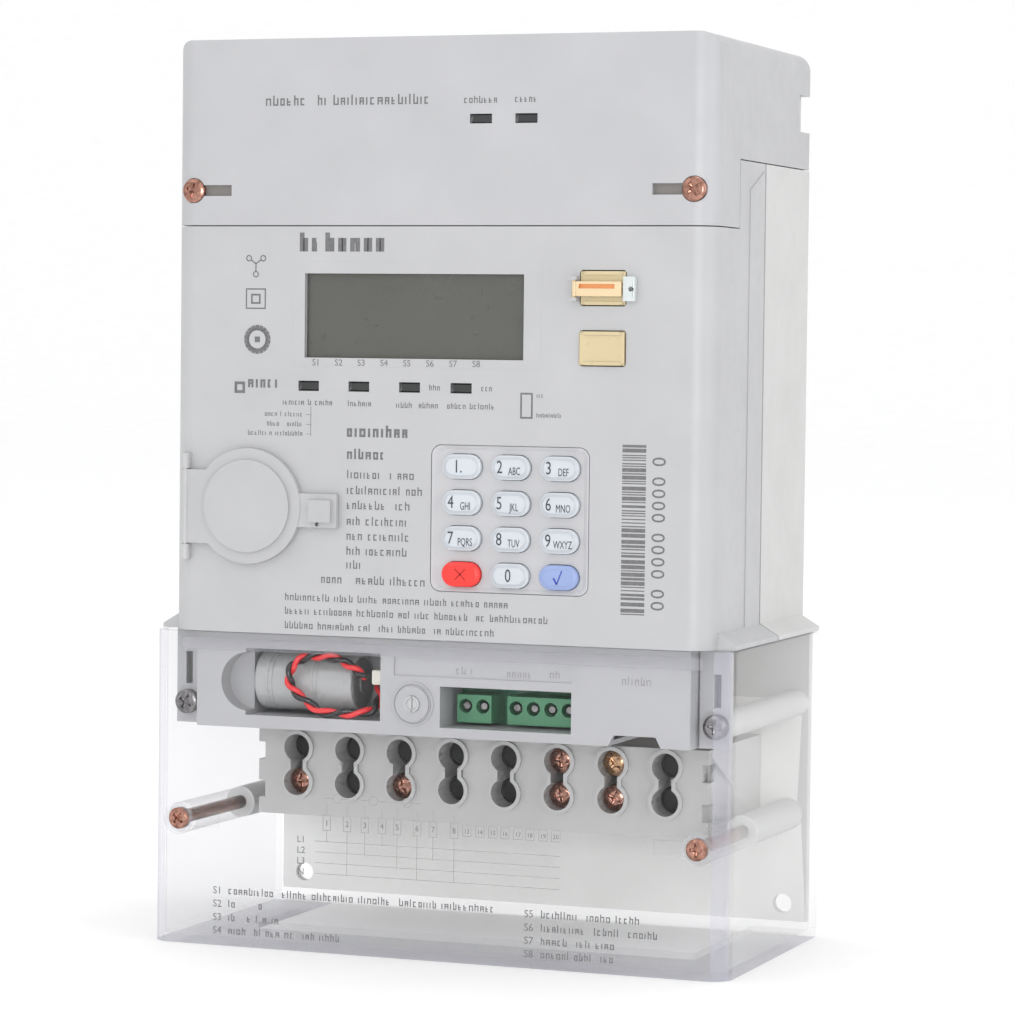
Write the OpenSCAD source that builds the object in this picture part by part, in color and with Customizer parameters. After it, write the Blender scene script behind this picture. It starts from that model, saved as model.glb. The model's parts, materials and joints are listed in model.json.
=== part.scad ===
// Wall-mounted prepaid electricity meter. Origin: middle of the wall face,
// +Y into the wall, +X to the right as seen from the front, +Z up. Millimetres.

/* [Body] */
// Width of the main body
body_w = 158; // [156:1:162]
// Height of the whole meter
body_h = 252; // [250:1:256]
// Depth from the wall to the front face
body_d = 88; // [88:1:92]
// Width across the terminal cover and the flared lip above it
cover_w = 170; // [169:1:172]
// Wall thickness of the moulded shells
wall = 2.5; // [2.2:0.1:2.8]
// Radius of the rounded vertical edges at the front
edge_r = 6.5; // [5:0.5:7]
// Radius of the two top corners
corner_r = 5; // [3:0.5:6]
// Depth of the rear housing
rear_d = 42; // [41:0.5:43]

/* [Seams] */
// Height of the seam under the modem cover
modem_seam = 74.5; // [74:0.5:75]
// Height of the ledge that carries the back of the modem cover
cap_ledge = 93; // [92:0.5:94]
// Height of the seam above the terminal cover
main_seam = -38; // [-38.5:0.5:-37.5]
// Gap between neighbouring covers
seam_gap = 0.3; // [0.3:0.05:0.5]

/* [Display] */
// Width of the clear lens
lens_w = 72.6; // [70:0.2:73]
// Height of the clear lens
lens_h = 28.5; // [27:0.5:29]
// Height of the middle of the lens
lens_z = 50.5; // [50:0.5:51]

/* [Keys] */
// Distance between key columns
key_pitch_x = 14.1; // [13.9:0.1:14.3]
// Distance between key rows
key_pitch_z = 9.75; // [9.5:0.05:10]
// Width of a key
key_w = 11.4; // [10:0.2:12]
// Height of a key
key_h = 6.6; // [6:0.1:7]
// Travel of every key and push button
key_travel = 1; // [0.6:0.1:1]

/* [Optical port] */
// Radius of the round door
door_r = 16; // [15.5:0.1:16.2]
// Radius of the seat that takes the reading head
port_r = 15; // [14.8:0.1:15.1]

/* [Terminals] */
// Number of main terminals
terminal_count = 8; // [8:1:8]
// Distance between main terminals
terminal_pitch = 15.9; // [15.8:0.1:16]
// Radius of a screw well
well_r = 3.9; // [3.8:0.1:4]
// Radius of a cable entry
cable_r = 4.2; // [4:0.1:4.3]

/* [Battery] */
// Radius of the cell
cell_r = 8.5; // [8:0.1:8.6]
// Length of the cell
cell_len = 34; // [33:0.5:34.5]
// Radius of each lead
lead_r = 0.6; // [0.5:0.05:0.6]

/* [Wall fixing] */
// Distance between the two lower fixing holes
fixing_pitch = 150; // [149:1:151]
// Radius of the lower fixing holes
fixing_r = 2.75; // [2.5:0.05:3]
// Radius of the hanging hole
hanger_r = 3; // [2.75:0.05:3.2]

/* [Hidden] */
$fn = 48;

top_z = body_h / 2;
bottom_z = -body_h / 2;
front_y = -body_d;
half_w = body_w / 2;
half_cover = cover_w / 2;
split_y = -rear_d;
gasket_t = 1.2;
cut = 0.1;
running = 0.06;

cap_inner_w = half_w - wall - 0.3;
cap_top_inner = top_z - wall - 0.3;

deck_y = front_y + 4;
deck_half_w = 72.7;
deck_bottom = -65;
bay_y = -66;
modem_screw_x = 73;
modem_screw_z = 84.4;
fixing_screw_x = 78.2;
fixing_screw_z = -59;
cover_screw_x = 76.2;
cover_screw_z = -91;
board_y = -78;
board_t = 1.6;
key_back_y = -83.8;
switch_y = key_back_y + key_travel + 0.3;
boss_x = 66;
boss_z = [-30, 68];

lens_x = -5.9;
status_x = [-37.6, -22.6, -7.6, 7.5];
status_z = 30.7;
modem_window_x = [12.4, 25.5];
modem_window_z = 103.5;
key_x0 = 8.2;
key_z0 = 9.5;
keypad_x = [-1, 44.8];
keypad_z = [-24.7, 15.4];
button_x = [41.3, 54.6];
scroll_z = [37.1, 46.8];
reset_z = [53.2, 62.9];
port_relief = 0.4;
lever_pin_x = 40.2;
lever_pin_y = front_y - 1.7;
lever_z = [55.7, 59.9];

port_x = -55;
port_z = -2.8;
port_floor_y = -80;
hinge_x = -74.2;
hinge_y = front_y - 1.4;

cell_x = -56.5;
cell_y = -73.3;
cell_z = -52.1;
tray_x = [-57.7, -17];
tray_z = [-61.4, -42.7];
tray_y = -64.5;
aux_x = [0.7, 38.9];
aux_z = [-62.3, -51];
aux_y = -76;
aux_board_y = -65.9;
aux_screw_z = -56.8;
aux_pitch = 5.08;
plunger_x = -7.2;
plunger_z = -56.1;

block_half_w = 68;
block_y = -52;
block_z = [-93, -68.5];
well_z = [-83.4, -73.6];
clamp_y = [-36, -12.5];
clamp_z = [-88.5, -69.5];
strap_y = [-12.5, -11];
cable_y = -19.5;
relay_z = [-12, 24];
raised_screws = [[0, 0], [2, 0], [5, 0], [5, 1], [6, 0], [6, 1]];
raised_head_y = -49.4;
seated_head_y = -41;

function terminal_x(i) = (i - (terminal_count - 1) / 2) * terminal_pitch;

// Route of the battery leads: x, y, z of the middle of the twisted pair.
lead_route = [
    [-22.2, -74, -53], [-20.2, -76.5, -55.5], [-20.6, -80.6, -58.8], [-25, -83, -59.6], [-30, -83.4, -59.8],
    [-35, -83.6, -59.6], [-39, -83.7, -57], [-42.5, -83.8, -54.5], [-44.5, -83.8, -51.5], [-44, -83.8, -48],
    [-41.5, -83.6, -45.5], [-38, -83.3, -44.3], [-34, -83.2, -44.2], [-30, -83.2, -44.8], [-26.5, -83, -46.5],
    [-24, -83, -48.2], [-21.8, -82.6, -49.6]
];
lead_steps = 4;
lead_sides = 8;
twist_turns = 7;
twist_r = 0.72;

// ---------- shared shapes ----------

// Extrudes a shape drawn in X and Z from y0 to y1.
module plate(y0, y1) {
    translate([0, y1, 0]) rotate([90, 0, 0]) linear_extrude(y1 - y0) children();
}

// Rounded rectangle with true arcs.
module rounded(x, z, r) {
    translate([x[0] + r, z[0]]) square([x[1] - x[0] - 2 * r, z[1] - z[0]]);
    translate([x[0], z[0] + r]) square([x[1] - x[0], z[1] - z[0] - 2 * r]);
    for (cx = [x[0] + r, x[1] - r], cz = [z[0] + r, z[1] - r]) translate([cx, cz]) circle(r);
}

// Box given by its two corners on each axis.
module block(x, y, z) {
    translate([x[0], y[0], z[0]]) cube([x[1] - x[0], y[1] - y[0], z[1] - z[0]]);
}

// Cylinder along Y.
module rod_y(x, z, r, y0, y1) {
    translate([x, y1, z]) rotate([90, 0, 0]) cylinder(h = y1 - y0, r = r);
}

// Cylinder along Z.
module rod_z(x, y, r, z0, z1) {
    translate([x, y, z0]) cylinder(h = z1 - z0, r = r);
}

// Plan of a shell: rounded at the two front corners, square at the back.
module front_plan(w, y0, y1, r) {
    translate([-w / 2, y0 + r]) square([w, y1 - y0 - r]);
    translate([-w / 2 + r, y0]) square([w - 2 * r, r + cut]);
    for (s = [-1, 1]) translate([s * (w / 2 - r), y0 + r]) circle(r);
}

// Solid with the shell plan between two heights.
module shell_solid(w, y0, y1, r, z0, z1) {
    translate([0, 0, z0]) linear_extrude(z1 - z0) front_plan(w, y0, y1, r);
}

// Front view of the body with its two rounded top corners.
module top_rounded(w, z0, z1, r) {
    translate([-w / 2, z0]) square([w, z1 - z0 - r]);
    translate([-w / 2 + r, z0]) square([w - 2 * r, z1 - z0]);
    for (s = [-1, 1]) translate([s * (w / 2 - r), z1 - r]) circle(r);
}

// Outline of a key.
module stadium(x, z, w, h) {
    rounded([x - w / 2, x + w / 2], [z - h / 2, z + h / 2], h / 2 - 0.01);
}

// Cheese-head screw along Y with a slot, head towards the front.
module slotted_screw(x, z, head_y, head_r, head_t, shank_r, shank_end) {
    difference() {
        rod_y(x, z, head_r, head_y, head_y + head_t);
        block([x - head_r, x + head_r], [head_y - cut, head_y + head_t * 0.4], [z - 0.5, z + 0.5]);
    }
    rod_y(x, z, shank_r, head_y + head_t, shank_end);
}

// Sloping lip that widens the body down to the terminal cover.
module flared_lip(y0, y1) {
    lip = half_cover - 0.5;
    for (s = [-1, 1])
        plate(y0, y1)
            polygon([
                [s * (half_w - 1), main_seam + 5], [s * half_w, main_seam + 4.5],
                [s * lip, main_seam + 1.2], [s * lip, main_seam], [s * (half_w - 1), main_seam]
            ]);
}

// ---------- housing ----------

module rear_housing() {
    color("gainsboro") difference() {
        union() {
            difference() {
                block([-half_w, half_w], [split_y, 0], [main_seam, cap_ledge]);
                block([wall - half_w, half_w - wall], [split_y - cut, -wall], [main_seam + wall, cap_ledge - wall]);
            }
            flared_lip(split_y, -2);
            block([-82, 82], [-3, 0], [bottom_z + 4, main_seam + 1]);
            for (s = [-1, 1]) {
                rod_y(s * fixing_screw_x, fixing_screw_z, 3.8, -75.4, -2);
                rod_y(s * cover_screw_x, cover_screw_z, 4.5, -47, -2);
                for (z = [-22, 56]) rod_y(s * 68, z, 3, -30, -wall + cut);
            }
            // back plate behind the modem cover, with the hanger pad and two hook lugs
            plate(-wall, 0) top_rounded(2 * cap_inner_w, cap_ledge - cut, cap_top_inner, corner_r - wall);
            block([-18, 18], [-5.5, -wall + cut], [97, cap_top_inner]);
            for (s = [-1, 1]) block([s * 72.5 - 3.5, s * 72.5 + 3.5], [-14, -wall + cut], [101.5, 116.5]);
        }
        // strap passage in the lower wall
        block([-62, 62], [-16, -8], [main_seam - cut, main_seam + wall + cut]);
        // recess for the hanger plate and clearance for the head of the hanging screw
        block([-16.2, 16.2], [-3.2, cut], [100, 123.2]);
        rod_y(0, 108, 7, -5, 0);
        // holes
        for (s = [-1, 1]) {
            rod_y(s * fixing_screw_x, fixing_screw_z, 1.65, -76, -45);
            rod_y(s * cover_screw_x, cover_screw_z, 1.95, -48, -20);
            rod_y(s * fixing_pitch / 2, bottom_z + 9, fixing_r, -4, cut);
        }
    }
}

module housing_gasket() {
    color("darkgray") plate(split_y - gasket_t, split_y) difference() {
        translate([0.4 - half_w, main_seam + 0.4]) square([body_w - 0.8, cap_ledge - main_seam - 0.8]);
        translate([2.2 - half_w, main_seam + 2.2]) square([body_w - 4.4, cap_ledge - main_seam - 4.4]);
    }
}

module hanger_plate() {
    color("silver") plate(-3, -1) difference() {
        rounded([-16, 16], [100.2, 123], 2);
        translate([0, 108]) circle(hanger_r);
    }
}

// ---------- front cover ----------

module front_cover_walls() {
    back_y = split_y - gasket_t;
    difference() {
        shell_solid(body_w, front_y, back_y, edge_r, main_seam, modem_seam);
        shell_solid(body_w - 2 * wall, front_y + wall, back_y + cut, edge_r - wall, main_seam + 2, modem_seam - 2);
    }
    // step behind the modem cover and the plate that carries the modem board
    difference() {
        block([-half_w, half_w], [bay_y, back_y], [modem_seam - 2, cap_ledge]);
        block([wall - half_w, half_w - wall], [bay_y + 2, back_y + cut], [modem_seam - 3, cap_ledge - wall]);
    }
    block([-74, 74], [bay_y, bay_y + 2], [cap_ledge - 1, 122]);
    for (s = [-1, 1]) rod_y(s * modem_screw_x, modem_screw_z, 3.4, -82, bay_y + cut);
    for (x = [-50, 50], z = [82, 118]) rod_y(x, z, 2, -70, bay_y + cut);
    flared_lip(front_y + edge_r, back_y);
}

module front_cover_deck() {
    block([-deck_half_w, deck_half_w], [deck_y, deck_y + 2], [deck_bottom, main_seam + 2]);
    block([-deck_half_w, deck_half_w], [deck_y, -58], [deck_bottom, deck_bottom + 1.5]);
    for (s = [-1, 1]) {
        block([s * deck_half_w - 0.75 - s * 0.75, s * deck_half_w + 0.75 - s * 0.75], [deck_y, -60],
            [deck_bottom, main_seam + 1]);
        block([s * 77.6 - 4.4, s * 77.6 + 4.4], [-77.4, -75.4], [-65, main_seam + 1]);
    }
    // outside of the battery tray, finger dish, terminal tunnel and plunger boss
    block([tray_x[0] - 1.5, tray_x[1] + 1.5], [deck_y, tray_y + 1.5], [tray_z[0] - 1.5, tray_z[1] + 1.5]);
    rod_y(tray_x[0] + 0.7, cell_z, 9.4, deck_y, -76.5);
    block([aux_x[0] - 1.2, aux_x[1] + 1.2], [deck_y, -67], [aux_z[0] - 1.2, aux_z[1] + 1.2]);
    rod_y(plunger_x, plunger_z, 4.9, deck_y - 1, -80);
}

module front_cover_openings() {
    // display
    plate(front_y - cut, front_y + 1.4)
        rounded([lens_x - lens_w / 2, lens_x + lens_w / 2], [lens_z - lens_h / 2, lens_z + lens_h / 2], 1);
    plate(front_y - cut, front_y + 4) rounded([lens_x - 33, lens_x + 33], [37.5, 63], 1);
    // status windows
    for (x = status_x)
        block([x - 3.1, x + 3.1], [front_y - cut, front_y + 4], [status_z - 1.4, status_z + 1.4]);
    // keypad recess and key holes
    plate(front_y - cut, front_y + 1) rounded(keypad_x, keypad_z, 3);
    for (c = [0:2], r = [0:3])
        plate(front_y - cut, front_y + 4)
            stadium(key_x0 + c * key_pitch_x, key_z0 - r * key_pitch_z, key_w + 0.7, key_h + 0.7);
    // push buttons
    plate(front_y - cut, front_y + 4) rounded(button_x, scroll_z, 1);
    plate(front_y - cut, front_y + 4) rounded(button_x, reset_z, 1);
    // lower edge above the deck
    block([-deck_half_w + 1.5, deck_half_w - 1.5], [deck_y + 2, -50], [main_seam - cut, main_seam + 2 + cut]);
}

module front_cover() {
    color("lightgray") difference() {
        union() {
            difference() {
                front_cover_walls();
                front_cover_openings();
            }
            rod_y(port_x, port_z, port_r + 1.6, front_y + 0.5, port_floor_y + 1.5);
            for (x = [-boss_x, boss_x], z = boss_z) rod_y(x, z, 3, front_y + 1, board_y);
            front_cover_deck();
            // hinge knuckles of the port door
            for (z = [[-18, -13.8], [7.3, 11.5]])
                difference() {
                    rod_z(hinge_x, hinge_y, 1.3, z[0], z[1]);
                    rod_z(hinge_x, hinge_y, 0.5, z[0] - cut, z[1] + cut);
                }
            for (z = [[-18, -13.8], [7.3, 11.5]]) block([hinge_x - 1.3, hinge_x + 1.3], [front_y - 0.8, front_y + 1], z);
            // ears of the reset lever
            for (z = [[54.5, 55.4], [60.2, 61.1]])
                block([lever_pin_x - 1, lever_pin_x + 1], [front_y - 2.7, front_y + 1], z);
        }
        rod_y(port_x, port_z, port_r, front_y - cut, port_floor_y);
        // shallow counterbore at the mouth and relief groove at the foot of the port wall
        rod_y(port_x, port_z, port_r + port_relief, front_y - cut, front_y + 0.9);
        rod_y(port_x, port_z, port_r + port_relief, port_floor_y - 1.5, port_floor_y);
        rod_z(hinge_x, hinge_y, 0.5, -18.1, 11.6);
        rod_z(lever_pin_x, lever_pin_y, 0.56, 54, 61.6);
        for (s = [-1, 1]) {
            rod_y(s * modem_screw_x, modem_screw_z, 1.55, -83, -60);
            rod_y(s * fixing_screw_x, fixing_screw_z, 1.75, -78, -75);
            block([s * fixing_screw_x - 1, s * fixing_screw_x + 1], [-78, -75], [-54, -45]);
        }
        for (x = [-boss_x, boss_x], z = boss_z) rod_y(x, z, 1.25, -84, board_y + cut);
        // battery tray, finger dish, terminal opening, label strip, plunger hole, lower notch
        block(tray_x, [deck_y - cut, tray_y], tray_z);
        rod_y(tray_x[0] + 0.7, cell_z, 8.2, deck_y - cut, -78);
        block(aux_x, [deck_y - cut, -66], aux_z);
        block([-13, 39], [deck_y - cut, deck_y + 0.5], [-48.5, -43]);
        rod_y(plunger_x, plunger_z, 2.36, deck_y - 2, -79);
        plate(deck_y - cut, -57) polygon([[49, -66], [51, -62], [63, -62], [65, -66]]);
    }
}

module front_cover_screws() {
    color("silver") for (s = [-1, 1])
        slotted_screw(s * fixing_screw_x, fixing_screw_z, -80, 3.4, 2.6, 1.6, -50);
}

// ---------- display and boards ----------

module display_lens() {
    color("white", 0.3) plate(front_y + 0.2, front_y + 1.4)
        rounded([lens_x - lens_w / 2 + 0.1, lens_x + lens_w / 2 - 0.1],
            [lens_z - lens_h / 2 + 0.1, lens_z + lens_h / 2 - 0.1], 1);
}

module display_module() {
    color("dimgray") {
        block([lens_x - 34.5, lens_x + 34.5], [front_y + wall + 0.2, -82], [36, 65]);
        block([lens_x - 36.5, lens_x + 36.5], [-82, board_y], [34, 67]);
    }
}

module main_board() {
    color("seagreen") plate(board_y, board_y + board_t) difference() {
        rounded([-70, 70], [-33, 70], 2);
        for (x = [-boss_x, boss_x], z = boss_z) translate([x, z]) circle(1.6);
    }
}

module board_screws() {
    color("silver") for (x = [-boss_x, boss_x], z = boss_z) {
        rod_y(x, z, 2.6, board_y + board_t, board_y + board_t + 1.8);
        rod_y(x, z, 1.2, board_y - 5, board_y + board_t);
    }
}

module key_switches() {
    color("black") {
        for (c = [0:2], r = [0:3])
            rod_y(key_x0 + c * key_pitch_x, key_z0 - r * key_pitch_z, 2.2, switch_y, board_y);
        for (z = [scroll_z[0] + 4.85, reset_z[0] + 4.85]) rod_y(48, z, 2.2, switch_y, board_y);
    }
}

module sounder() {
    color("black") difference() {
        rod_y(61, 12, 6, -83, board_y);
        rod_y(61, 12, 1, -83.1, -81);
    }
}

module power_board() {
    color("seagreen") plate(-31.6, -30) difference() {
        rounded([-71, 71], [-26, 60], 2);
        for (x = [-68, 68], z = [-22, 56]) translate([x, z]) circle(1.2);
    }
}

module power_parts() {
    color("darkslategray") {
        block([-50, -22], [-46, -31.6], [30, 54]);
        for (x = [-8, 6, 20]) rod_z(x, -39, 5, 32, 52);
        for (x = [-8, 6, 20]) block([x - 3, x + 3], [-34.2, -31.6], [36, 48]);
        block([36, 60], [-42, -31.6], [34, 50]);
    }
}

module current_transformers() {
    color("navy") for (i = [0, 2, 4]) difference() {
        rod_z(terminal_x(i), (strap_y[0] + strap_y[1]) / 2, 9, -30, -20);
        block([terminal_x(i) - 4.5, terminal_x(i) + 4.5], [strap_y[0] - 1, strap_y[1] + 1], [-31, -19]);
    }
}

module relays() {
    color("royalblue") for (i = [0, 2, 4])
        block([terminal_x(i) - 6, terminal_x(i + 1) + 6], [-24, -wall - 0.2], relay_z);
}

module copper_straps() {
    color("peru") {
        for (i = [0:5]) block([terminal_x(i) - 4, terminal_x(i) + 4], strap_y, [-80, relay_z[0]]);
        for (i = [6, 7]) block([terminal_x(i) - 4, terminal_x(i) + 4], strap_y, [-80, -12]);
        block([terminal_x(6) + 4, terminal_x(7) - 4], strap_y, [-20, -12]);
    }
}

// ---------- modem bay ----------

module modem_board() {
    color("seagreen") plate(-71.6, -70) rounded([-60, 60], [78, 121], 2);
}

module modem_module() {
    color("silver") block([-20, 8], [-74.6, -71.6], [86, 116]);
}

module modem_antenna() {
    color("ivory") block([36, 52], [-77.6, -71.6], [88, 118]);
}

module modem_cover() {
    z0 = modem_seam + seam_gap;
    color("lightgray") difference() {
        intersection() {
            shell_solid(body_w, front_y, -0.5, edge_r, z0, top_z);
            plate(front_y, -0.5) top_rounded(body_w, z0, top_z, corner_r);
        }
        intersection() {
            shell_solid(2 * cap_inner_w + 0.6, front_y + wall, 0, edge_r - wall, z0 + 2, top_z - wall);
            plate(front_y + wall, 0) top_rounded(2 * cap_inner_w + 0.6, z0 + 2, top_z - wall, corner_r - wall);
        }
        // step over the body and the open underside behind it
        block([-half_w - 1, half_w + 1], [bay_y - seam_gap, 1], [z0 - 1, cap_ledge + seam_gap]);
        block([wall - half_w, half_w - wall], [bay_y - 2, 1], [z0 + 2, cap_ledge + 2]);
        // notches at the wall edge of both sides
        for (s = [-1, 1]) block([s * half_w - 4, s * half_w + 4], [-11, cut], [103.7, 114.1]);
        for (s = [-1, 1]) {
            rod_y(s * modem_screw_x, modem_screw_z, 3.5, front_y - cut, front_y + 1.4);
            rod_y(s * modem_screw_x, modem_screw_z, 1.6, front_y, front_y + 4);
            block([s * 67 - 5.6, s * 67 + 5.6], [front_y - cut, front_y + 1.4],
                [modem_screw_z - 1.5, modem_screw_z + 1.5]);
        }
        for (x = modem_window_x)
            block([x - 3.2, x + 3.2], [front_y - cut, front_y + 4], [modem_window_z - 1.3, modem_window_z + 1.3]);
    }
}

module modem_cover_screws() {
    color("silver") for (s = [-1, 1])
        slotted_screw(s * modem_screw_x, modem_screw_z, front_y - 0.4, 3.3, 1.8, 1.5, -62);
}

module modem_windows() {
    color("dimgray") for (x = modem_window_x) {
        block([x - 3.15, x + 3.15], [front_y + 0.2, front_y + wall], [modem_window_z - 1.25, modem_window_z + 1.25]);
        block([x - 4, x + 4], [front_y + wall, front_y + 4], [modem_window_z - 2, modem_window_z + 2]);
    }
}

// ---------- windows, keys and buttons ----------

module status_windows() {
    color("slategray") for (x = status_x) {
        block([x - 3.05, x + 3.05], [front_y + 0.2, front_y + wall], [status_z - 1.35, status_z + 1.35]);
        block([x - 4, x + 4], [front_y + wall, board_y], [status_z - 2, status_z + 2]);
    }
}

module keypad_mat() {
    color("lightgray") plate(front_y + 0.1, front_y + 1) difference() {
        rounded([keypad_x[0] + 0.2, keypad_x[1] - 0.2], [keypad_z[0] + 0.2, keypad_z[1] - 0.2], 2.8);
        for (c = [0:2], r = [0:3])
            stadium(key_x0 + c * key_pitch_x, key_z0 - r * key_pitch_z, key_w + 0.7, key_h + 0.7);
    }
}

// One key at column c and row r.
module key(c, r, tint) {
    color(tint) plate(front_y - 1.2, key_back_y)
        stadium(key_x0 + c * key_pitch_x, key_z0 - r * key_pitch_z, key_w, key_h);
}

module key_1() { key(0, 0, "aliceblue"); }
module key_2() { key(1, 0, "aliceblue"); }
module key_3() { key(2, 0, "aliceblue"); }
module key_4() { key(0, 1, "aliceblue"); }
module key_5() { key(1, 1, "aliceblue"); }
module key_6() { key(2, 1, "aliceblue"); }
module key_7() { key(0, 2, "aliceblue"); }
module key_8() { key(1, 2, "aliceblue"); }
module key_9() { key(2, 2, "aliceblue"); }
module key_cancel() { key(0, 3, "tomato"); }
module key_0() { key(1, 3, "aliceblue"); }
module key_enter() { key(2, 3, "lightsteelblue"); }

// Rectangular push button filling its opening.
module push_button(z, face_y) {
    color("moccasin") plate(face_y, key_back_y)
        rounded([button_x[0] + 0.3, button_x[1] - 0.3], [z[0] + 0.3, z[1] - 0.3], 0.8);
}

module scroll_button() { push_button(scroll_z, front_y - 0.8); }

module reset_button() { push_button(reset_z, front_y - 0.2); }

module reset_lever() {
    color("wheat") {
        rod_z(lever_pin_x, lever_pin_y, 1, lever_z[0], lever_z[1]);
        rod_z(lever_pin_x, lever_pin_y, 0.5, 54.6, 61);
        block([lever_pin_x, 53.2], [front_y - 2.6, front_y - 0.8], lever_z);
    }
}

module seal_tab() {
    color("white", 0.6) difference() {
        union() {
            block([55, 57.6], [front_y - 2.2, front_y], [54.3, 61.3]);
            block([53.6, 55], [front_y - 2.2, front_y - 0.9], [54.3, 61.3]);
        }
        rod_y(56.3, 57.8, 0.7, front_y - 3, front_y + cut);
    }
}

// ---------- optical port ----------

module optical_ring() {
    color("silver") difference() {
        rod_y(port_x, port_z, 14.2, port_floor_y - 0.5, port_floor_y);
        rod_y(port_x, port_z, 10, port_floor_y - 2, port_floor_y + 1);
    }
}

module optical_elements() {
    color("black") for (x = [-3.3, 3.3]) rod_y(port_x + x, port_z, 2.5, port_floor_y - 0.9, port_floor_y);
}

module optical_door() {
    color("gainsboro") difference() {
        union() {
            rod_y(port_x, port_z, door_r, front_y - 2, front_y - 0.3);
            rod_y(port_x, port_z, 12.8, front_y - 2.9, front_y - 2);
            block([hinge_x, -64], [front_y - 2, front_y - 0.3], [-13.5, 7]);
            rod_z(hinge_x, hinge_y, 1.2, -13.5, 7);
            block([-42, -28.2], [front_y - 1.8, front_y - 0.3], [-8.2, 1.1]);
            block([-36.1, -29.6], [front_y - 3, front_y - 1.8], [-6.7, -0.6]);
        }
        rod_z(hinge_x, hinge_y, 0.5 + running, -14, 7.5);
        rod_y(-34, -7.3, 0.6, front_y - 4, front_y);
    }
}

module door_pin() {
    color("silver") rod_z(hinge_x, hinge_y, 0.5, -18, 11.5);
}

// ---------- battery ----------

module battery() {
    color("dimgray") translate([cell_x, cell_y, cell_z]) rotate([0, 90, 0]) union() {
        cylinder(h = cell_len, r = cell_r);
        cylinder(h = cell_len + 0.6, r = 3);
    }
}

module battery_plug() {
    color("ivory") block([-21.8, -17.2], [-83.6, -78.5], [-53, -46.5]);
}

// Point at position u between route points, on a smooth curve through them.
function curve_point(p, i, t) =
    let (
        a = p[max(i - 1, 0)],
        b = p[i],
        c = p[i + 1],
        d = p[min(i + 2, len(p) - 1)]
    )
    0.5 * ((2 * b) + (c - a) * t + (2 * a - 5 * b + 4 * c - d) * t * t + (3 * b - a - 3 * c + d) * t * t * t);

function smooth_route(p) = concat(
    [for (i = [0:len(p) - 2], k = [0:lead_steps - 1]) curve_point(p, i, k / lead_steps)],
    [p[len(p) - 1]]
);

function unit(v) = v / norm(v);

function direction(p, i) = unit(p[min(i + 1, len(p) - 1)] - p[max(i - 1, 0)]);

// Two axes square to the route at point i.
function side_axis(p, i) = unit(cross(direction(p, i), [0.1, -1, 0.05]));
function face_axis(p, i) = cross(side_axis(p, i), direction(p, i));

function twisted_route(p, phase) = [
    for (i = [0:len(p) - 1])
        let (
            angle = phase + 360 * twist_turns * i / (len(p) - 1),
            fade = min(1, i / 3, (len(p) - 1 - i) / 3 + 0.6)
        )
        p[i] + twist_r * fade * (cos(angle) * side_axis(p, i) + sin(angle) * face_axis(p, i))
            + (1 - fade) * twist_r * [0, 0, cos(phase)]
];

// Tube of radius r along points p.
module tube(p, r) {
    n = lead_sides;
    m = len(p);
    points = [
        for (i = [0:m - 1], k = [0:n - 1])
            p[i] + r * (cos(360 * k / n) * side_axis(p, i) + sin(360 * k / n) * face_axis(p, i))
    ];
    sides = [
        for (i = [0:m - 2], k = [0:n - 1])
            [i * n + k, i * n + (k + 1) % n, (i + 1) * n + (k + 1) % n, (i + 1) * n + k]
    ];
    polyhedron(points, concat(sides, [[for (k = [0:n - 1]) n - 1 - k]], [[for (k = [0:n - 1]) (m - 1) * n + k]]));
}

module battery_lead_red() {
    color("firebrick") tube(twisted_route(smooth_route(lead_route), 0), lead_r);
}

module battery_lead_black() {
    color("black") tube(twisted_route(smooth_route(lead_route), 180), lead_r);
}

// ---------- auxiliary terminals ----------

module aux_board() {
    color("seagreen") block([-13, 42], [aux_board_y, aux_board_y + 1.6], [-63, -42]);
}

// Pluggable terminal with its screws in a row, starting at x.
module aux_terminal(x, count) {
    color("mediumseagreen") difference() {
        block([x, x + count * aux_pitch], [aux_y, aux_board_y], [-61.4, -53.6]);
        for (i = [0:count - 1]) {
            rod_y(x + (i + 0.5) * aux_pitch, aux_screw_z, 1.9, aux_y - cut, aux_y + 5);
            block([x + (i + 0.5) * aux_pitch - 1.5, x + (i + 0.5) * aux_pitch + 1.5],
                [aux_y + 6, aux_y + 9], [-62, -57]);
        }
    }
}

module aux_terminal_2way() { aux_terminal(2.6, 2); }

module aux_terminal_4way() { aux_terminal(17.4, 4); }

module aux_screws() {
    color("silver") for (x = [2.6, 2.6 + aux_pitch, for (i = [0:3]) 17.4 + i * aux_pitch])
        slotted_screw(x + aux_pitch / 2, aux_screw_z, aux_y - 0.4, 1.75, 1.6, 1.2, aux_y + 5);
}

module tamper_switch() {
    color("black") block([-10.4, -4], [-77.2, aux_board_y], [-59, -53]);
}

module tamper_plunger() {
    color("whitesmoke") {
        rod_y(plunger_x, plunger_z, 2.3, deck_y - 1.5, -78.4);
    }
}

// ---------- main terminals ----------

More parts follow.
